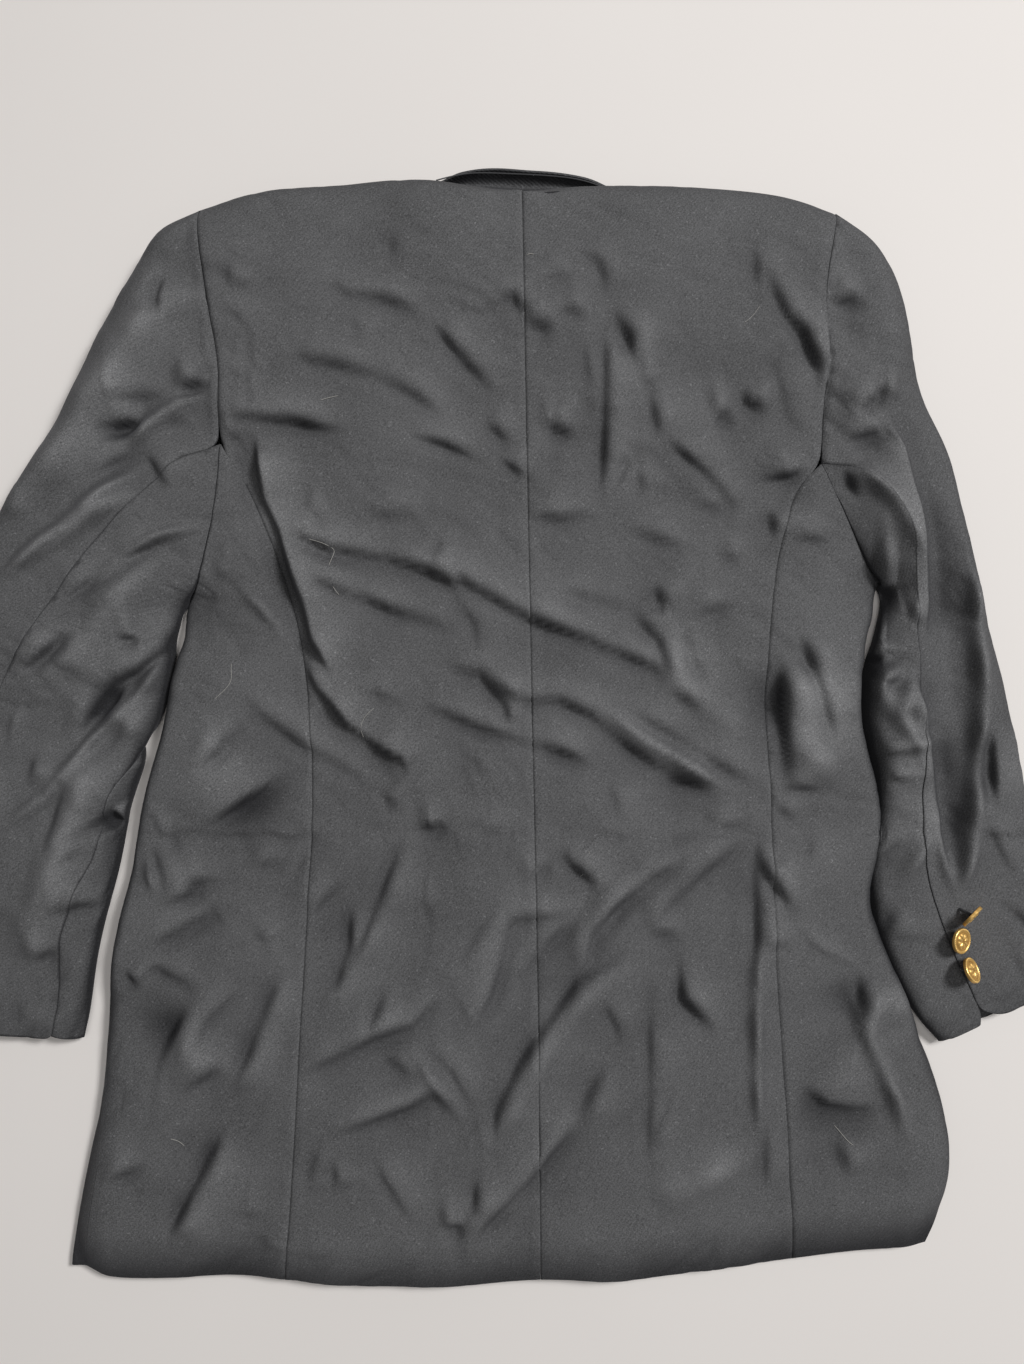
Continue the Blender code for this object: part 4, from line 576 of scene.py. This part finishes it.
def closeGap(name, places):
    # cloth that touches in use: body and sleeve swell towards each other until they meet
    for tag, facts in contacts.items():
        if tag not in name or name.startswith(("lapel", "back")):
            continue
        side = facts["side"]
        bodyRows, bodyEdge = edgeTable(["side_" + tag, "front_" + tag], side)
        sleeveRows, sleeveEdge = edgeTable(["sleeve_%s_top" % tag, "sleeve_%s_under" % tag], -side)
        bodyX = np.interp(places[:, 1], bodyRows, bodyEdge)
        sleeveX = np.interp(places[:, 1], sleeveRows, sleeveEdge)
        half = np.clip((sleeveX - bodyX) * side - 0.5, 0, contactForm["most"]) / 2
        crotchAway = (places[:, 1] - facts["crotch"]) / contactForm["crotchReach"]
        half += contactForm["crotchSwell"] * np.exp(-crotchAway ** 2)
        half *= softStep(places[:, 1], facts["from"] - 14, facts["from"] + 14)
        half *= 1 - softStep(places[:, 1], facts["to"] - 12, facts["to"] + 4)
        # a sleeve moves towards the body, and the body towards the sleeve
        edge, way = (sleeveX, -side) if name.startswith("sleeve") else (bodyX, side)
        inward = (edge - places[:, 0]) * way
        places[:, 0] += way * half * np.exp(-(np.maximum(inward, 0) / contactForm["fade"]) ** 2)


# unevenness of cloth that has been worn: how long, wide and high each size of it is, where its noise
# starts, how that changes with height, and where a crease's top is cut off; a swell keeps its top
ripples = {
    "swell": {"long": 85, "wide": 36, "high": 4.0, "seed": 0.3, "perRise": 0, "most": None},
    "crease": {"long": 44, "wide": 15, "high": 3.6, "seed": 4.1, "perRise": 1 / 40, "most": 0.3},
    "fine": {"long": 19, "wide": 8, "high": 1.7, "seed": 7.7, "perRise": 1 / 30, "most": 0.25},
}


def ripple(x, y, z):
    # slow swells, then small creases that run with the big folds: down to the right on the upper body,
    # up to the right below
    turn = -0.45 if y > -100 else 0.85
    along, across = x * cos(turn) + y * sin(turn), y * cos(turn) - x * sin(turn)
    where = 0.55 + 0.9 * noise.noise(Vector((x / 70, y / 70, 2.2)))
    height = -0.8
    for size in ripples.values():
        spot = Vector((along / size["long"], across / size["wide"], size["seed"] + z * size["perRise"]))
        wave = noise.noise(spot)
        height += size["high"] * (where * min(abs(wave), size["most"]) if size["most"] else wave)
    return height


def layFolds(places, facing, folds, seams):
    # moves the upper cloth up and down; gives the painted light and shade that folds and hem bring
    lift = foldHeights(places, folds)
    # the hem band is pressed and turns down to the floor
    hemAway = places[:, 1] - np.interp(places[:, 0], *np.array(hemLine, float).T)
    hem = 1 - softStep(hemAway, 2, hemForm["band"])
    small = np.array([ripple(*place) for place in places])
    # the lining side moves as the face above it does
    height = softStep(places[:, 2] + 1 - facing, 3.0, 10.0)
    moved = (foldGain * lift + seams + small - hemForm["drop"] * hem) * height
    # nothing sinks to the cloth below it
    room = places[:, 2] - linerGap - facing
    moved = np.where(moved < 0, -np.maximum(room, 0) * np.tanh(-moved / np.maximum(room, 0.1)), moved)
    places[:, 2] += moved
    # painted light on fold crests, painted shade in fold troughs and along the hem band
    return shadeGain * lift * height - hemForm["shade"] * hem


def dressCloth(name, facts):
    piece = copyNode(name)
    applyModifier(piece, "SUBSURF", levels=facts["level"], render_levels=facts["level"],
                  use_limit_surface=False)
    mesh = piece.data
    places = coordinates(mesh) / mm
    seams, seamNear = seamHeights(places)
    shade = np.full(len(places), napTone)
    if facts["folds"]:
        shade += layFolds(places, upwardness(mesh), facts["folds"], seams)
    closeGap(name, places)
    setCoordinates(mesh, places)
    # painted shade: darker where the cloth turns down away from the light, except at seams, and darker near
    # the floor
    shade -= 0.8 * (1 - seamNear) * (1 - np.clip(upwardness(mesh), 0, 1))
    shade -= 0.2 * (1 - softStep(places[:, 2], 5, 18))
    storeShade(mesh, shade)
    kind = next(key for key in grains if name.startswith(key))
    mesh.materials.append(gabardineMaterial("wool_gabardine_" + name, grains[kind], felt=name == "collar"))
    bpy.ops.object.shade_smooth_by_angle(angle=radians(50))
    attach(piece, "root")
    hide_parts(name)
    return piece


print("cloth pieces")
sheets = {}
for name, facts in clothPieces.items():
    sheets[name] = dressCloth(name, facts)

# centre, the way the face looks, and where the thread stem meets the cloth
buttons = {
    "right_cuff_button_1": ((298.5, -152.0, 25.2), (0.65, -0.63, 0.43), (294.6, -149.2, 17.0)),
    "right_cuff_button_2": ((292.5, -168.5, 23.2), (0.51, -0.02, 0.86), (289.4, -167.4, 16.6)),
    "right_cuff_button_3": ((299.0, -187.5, 23.6), (0.64, 0.40, 0.66), (295.2, -188.2, 16.1)),
    "left_cuff_button_1": ((-374.0, -168.0, 20.6), (-0.10, 0.0, 0.99), (-373.6, -168.0, 16.8)),
    "left_cuff_button_2": ((-376.0, -187.0, 20.2), (-0.10, 0.05, 0.99), (-375.6, -187.2, 16.4)),
    "left_cuff_button_3": ((-378.0, -206.0, 19.8), (-0.10, -0.05, 0.99), (-377.6, -205.8, 15.95)),
}
buttonShape = {
    "radius": 8.25, "thick": 1.9, "sides": 80,
    "petals": 8, "petalHigh": 0.55, "petalFrom": 0.6, "petalTo": 4.3,
    "rope": 40, "ropeHigh": 0.14, "ropeFrom": 6.6,
    # rim, ground and dome, one inset after another with its rise; then the back
    "face": ((0.25, 0.22), (0.3, 0.12), (0.3, 0.0), (0.3, -0.3), (0.3, -0.2), (0.9, 0.05), (0.5, 0.22),
             (0.6, 0.15), (0.7, 0.12), (0.7, 0.10), (0.8, 0.08), (0.8, 0.05), (0.7, 0.03), (0.7, 0.0)),
    "back": ((0.5, -0.25), (2.2, 0.0), (3.6, 0.0)),
}
threadStem = {"radius": 1.35, "sides": 20, "wrap": 0.7, "wrapDeep": 0.07, "waist": 0.16, "inside": 0.9}


def insetFaces(disc, side, steps):
    # the flat face that looks up (1) or down (-1) is inset and moved step by step; edit mode
    bpy.ops.mesh.select_all(action="DESELECT")
    shell = bmesh.from_edit_mesh(disc.data)
    for face in shell.faces:
        face.select = side * face.normal.z > 0.9
    bmesh.update_edit_mesh(disc.data)
    for inset, rise in steps:
        bpy.ops.mesh.inset(thickness=inset * mm)
        bpy.ops.transform.translate(value=(0, 0, rise * mm))


def discPattern(shape):
    # one stamped button, face up at the origin: roped rim, sunken ring and a low rosette in the middle
    bpy.ops.object.select_all(action="DESELECT")
    bpy.ops.mesh.primitive_cylinder_add(vertices=shape["sides"], radius=shape["radius"] * mm,
                                        depth=shape["thick"] * mm, end_fill_type="NGON")
    disc = bpy.context.object
    disc.name = "button_pattern"
    bpy.ops.object.mode_set(mode="EDIT")
    insetFaces(disc, 1, shape["face"])
    insetFaces(disc, -1, shape["back"])
    bpy.ops.object.mode_set(mode="OBJECT")
    places = coordinates(disc.data) / mm
    radius = np.hypot(places[:, 0], places[:, 1])
    angle = np.arctan2(places[:, 1], places[:, 0])
    top = places[:, 2] > 0.3
    petals = np.abs(np.cos(shape["petals"] * angle / 2))
    petals *= softStep(radius, shape["petalFrom"], shape["petalFrom"] + 1.8)
    petals *= 1 - softStep(radius, shape["petalTo"], shape["petalTo"] + 0.9)
    rope = np.cos(shape["rope"] * angle) * softStep(radius, shape["ropeFrom"], shape["ropeFrom"] + 0.6)
    places[:, 2] += top * (shape["petalHigh"] * petals - 0.15 + shape["ropeHigh"] * rope)
    setCoordinates(disc.data, places)
    rim = softStep(radius, shape["ropeFrom"] - 0.2, shape["ropeFrom"] + 0.3)
    storeShade(disc.data, 0.25 + top * (0.75 * petals + 0.5 * rim + 0.2 * rope))
    return disc


def makeStem(name, start, end):
    # a wrapped bundle of thread from the back of the disc to the cloth
    length = (end - start).length
    bpy.ops.object.select_all(action="DESELECT")
    bpy.ops.mesh.primitive_cylinder_add(vertices=threadStem["sides"], radius=threadStem["radius"] * mm,
                                        depth=length * mm, end_fill_type="NGON")
    stem = bpy.context.object
    stem.name = name + "_stem"
    bpy.ops.object.mode_set(mode="EDIT")
    bpy.ops.mesh.select_all(action="SELECT")
    bpy.ops.mesh.bisect(plane_co=(0, 0, 0), plane_no=(0, 0, 1))
    bpy.ops.object.mode_set(mode="OBJECT")
    applyModifier(stem, "SUBSURF", levels=2, render_levels=2, subdivision_type="SIMPLE")
    places = coordinates(stem.data) / mm
    fromAxis = np.hypot(places[:, 0], places[:, 1])
    turns = np.sin(places[:, 2] * 2 * pi / threadStem["wrap"] + np.arctan2(places[:, 1], places[:, 0]))
    wrap = 1 + threadStem["wrapDeep"] * turns * (fromAxis > threadStem["radius"] - 0.15)
    waist = 1 - threadStem["waist"] * np.cos(places[:, 2] / length * pi)
    places[:, :2] *= (waist * wrap)[:, None]
    setCoordinates(stem.data, places)
    way = (start - end).to_track_quat("Z", "Y").to_matrix().to_4x4()
    stem.data.transform(Matrix.Translation((start + end) / 2 * mm) @ way)
    stem.data.materials.append(darkThread)
    bpy.ops.object.shade_smooth()
    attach(stem, "root")


def placeButton(name, pattern, row):
    centre, face, foot = (Vector(part) for part in row)
    face = face.normalized()
    across = face.cross(Vector((0, 0.3, 1))).normalized()
    turn = Matrix((across, face.cross(across), face)).transposed().to_4x4()
    piece = bpy.data.objects.new(name + "_gilt", pattern.data.copy())
    bpy.context.scene.collection.objects.link(piece)
    piece.data.transform(Matrix.Translation(centre * mm) @ turn)
    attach(piece, "root")
    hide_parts(name)
    makeStem(name, centre - face * threadStem["inside"], foot)


print("buttons")
darkThread = threadMaterial("spun_sewing_thread", "#2c2c2e", "#3c3c3f")
pattern = discPattern(buttonShape)
pattern.data.materials.append(giltMaterial())
bpy.ops.object.shade_smooth_by_angle(angle=radians(40))
for name, row in buttons.items():
    placeButton(name, pattern, row)
bpy.data.objects.remove(pattern)


def surfaceHeight(x, y):
    # top of the dressed cloth under a place, in mm
    found = 0.0
    for piece in sheets.values():
        hit, spot = piece.ray_cast(Vector((x, y, 100)) * mm, Vector((0, 0, -1)))[:2]
        if hit:
            found = max(found, spot.z / mm)
    return found


# Loose pale hairs and lint on the wool: each a line on the cloth and its half thickness.
hairs = {
    "hair_1": ([(-132, 93), (-124, 91), (-118, 88), (-115, 86), (-119, 78), (-120, 70), (-117, 62),
                (-113, 57)], 0.16),
    "hair_2": ([(-184, 12), (-184, 7), (-182, 1), (-187, -5), (-194, -11)], 0.14),
    "hair_3": ([(-90, -17), (-95, -21), (-98, -26), (-99, -31), (-97, -36)], 0.13),
    "hair_4": ([(-224, -300), (-219, -301), (-216, -305)], 0.18),
    "hair_5": ([(213, -293), (217, -297), (220, -302), (224, -304)], 0.18),
    "hair_6": ([(-124, 183), (-119, 185), (-113, 186)], 0.2),
    "hair_7": ([(10, 277), (12, 278), (14, 277)], 0.22),
    "hair_8": ([(45, -128), (50, -124), (53, -117), (50, -110)], 0.12),
    "hair_9": ([(150, 232), (156, 236), (160, 243)], 0.12),
}


def layHair(name, line, thick, material):
    curve = bpy.data.curves.new(name, "CURVE")
    curve.dimensions = "3D"
    spline = curve.splines.new("NURBS")
    spline.points.add(len(line) - 1)
    spline.order_u = 4
    spline.use_endpoint_u = True
    for point, (x, y) in zip(spline.points, line):
        point.co = (x * mm, y * mm, (surfaceHeight(x, y) + thick + 0.12) * mm, 1)
    curve.bevel_depth = thick * mm
    curve.bevel_resolution = 2
    curve.resolution_u = 6
    curve.use_fill_caps = True
    hair = bpy.data.objects.new(name, curve)
    bpy.context.scene.collection.objects.link(hair)
    bpy.ops.object.select_all(action="DESELECT")
    hair.select_set(True)
    bpy.context.view_layer.objects.active = hair
    bpy.ops.object.convert(target="MESH")
    hair = bpy.context.object
    hair.data.materials.append(material)
    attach(hair, "root")


collarPiping = ([(-50, 331), (-36, 337.5), (-24, 339), (2, 338), (27, 337), (52, 334), (66, 329)], 0.45)

print("hairs, lint and the collar's piping")
paleHair = threadMaterial("loose_pale_fibre", "#8e8c88", "#b4b1ab")
for name, (line, thick) in hairs.items():
    layHair(name, line, thick, paleHair)
layHair("collar_piping", *collarPiping, darkThread)

print("floor, light and camera")
bpy.ops.object.select_all(action="DESELECT")
bpy.ops.mesh.primitive_plane_add(size=8, location=(0, 0, -0.0004))
floor = bpy.context.object
floor.name = "floor"
floor.data.materials.append(floorMaterial())

# soft light from almost overhead, a little from the right and the collar end
lights = {
    "key": {"place": (2.25, 1.55, 2.85), "size": 0.9, "power": 118},
    "fill": {"place": (-0.1, -0.1, 2.2), "size": 1.4, "power": 11},
}
for name, facts in lights.items():
    bpy.ops.object.light_add(type="AREA", location=facts["place"])
    lamp = bpy.context.object
    lamp.name = name + "_light"
    lamp.data.size = facts["size"]
    lamp.data.energy = facts["power"]
    lamp.rotation_euler = (-Vector(facts["place"])).to_track_quat("-Z", "Y").to_euler()
world = bpy.data.worlds.new("room")
world.use_nodes = True
world.node_tree.nodes["Background"].inputs["Color"].default_value = (1, 0.985, 0.97, 1)
world.node_tree.nodes["Background"].inputs["Strength"].default_value = 0.12
bpy.context.scene.world = world
bpy.context.scene.view_settings.view_transform = "Standard"

view = {"height": 0.690, "focal": 1025, "longSide": 1364, "sensor": 36}  # metres, pixels twice, sensor mm
bpy.ops.object.camera_add(location=(0, 0, view["height"]), rotation=(0, 0, 0))
camera = bpy.context.object
camera.data.sensor_width = view["sensor"]
camera.data.lens = view["sensor"] * view["focal"] / view["longSide"]
camera.data.clip_start = 0.01
bpy.context.scene.camera = camera
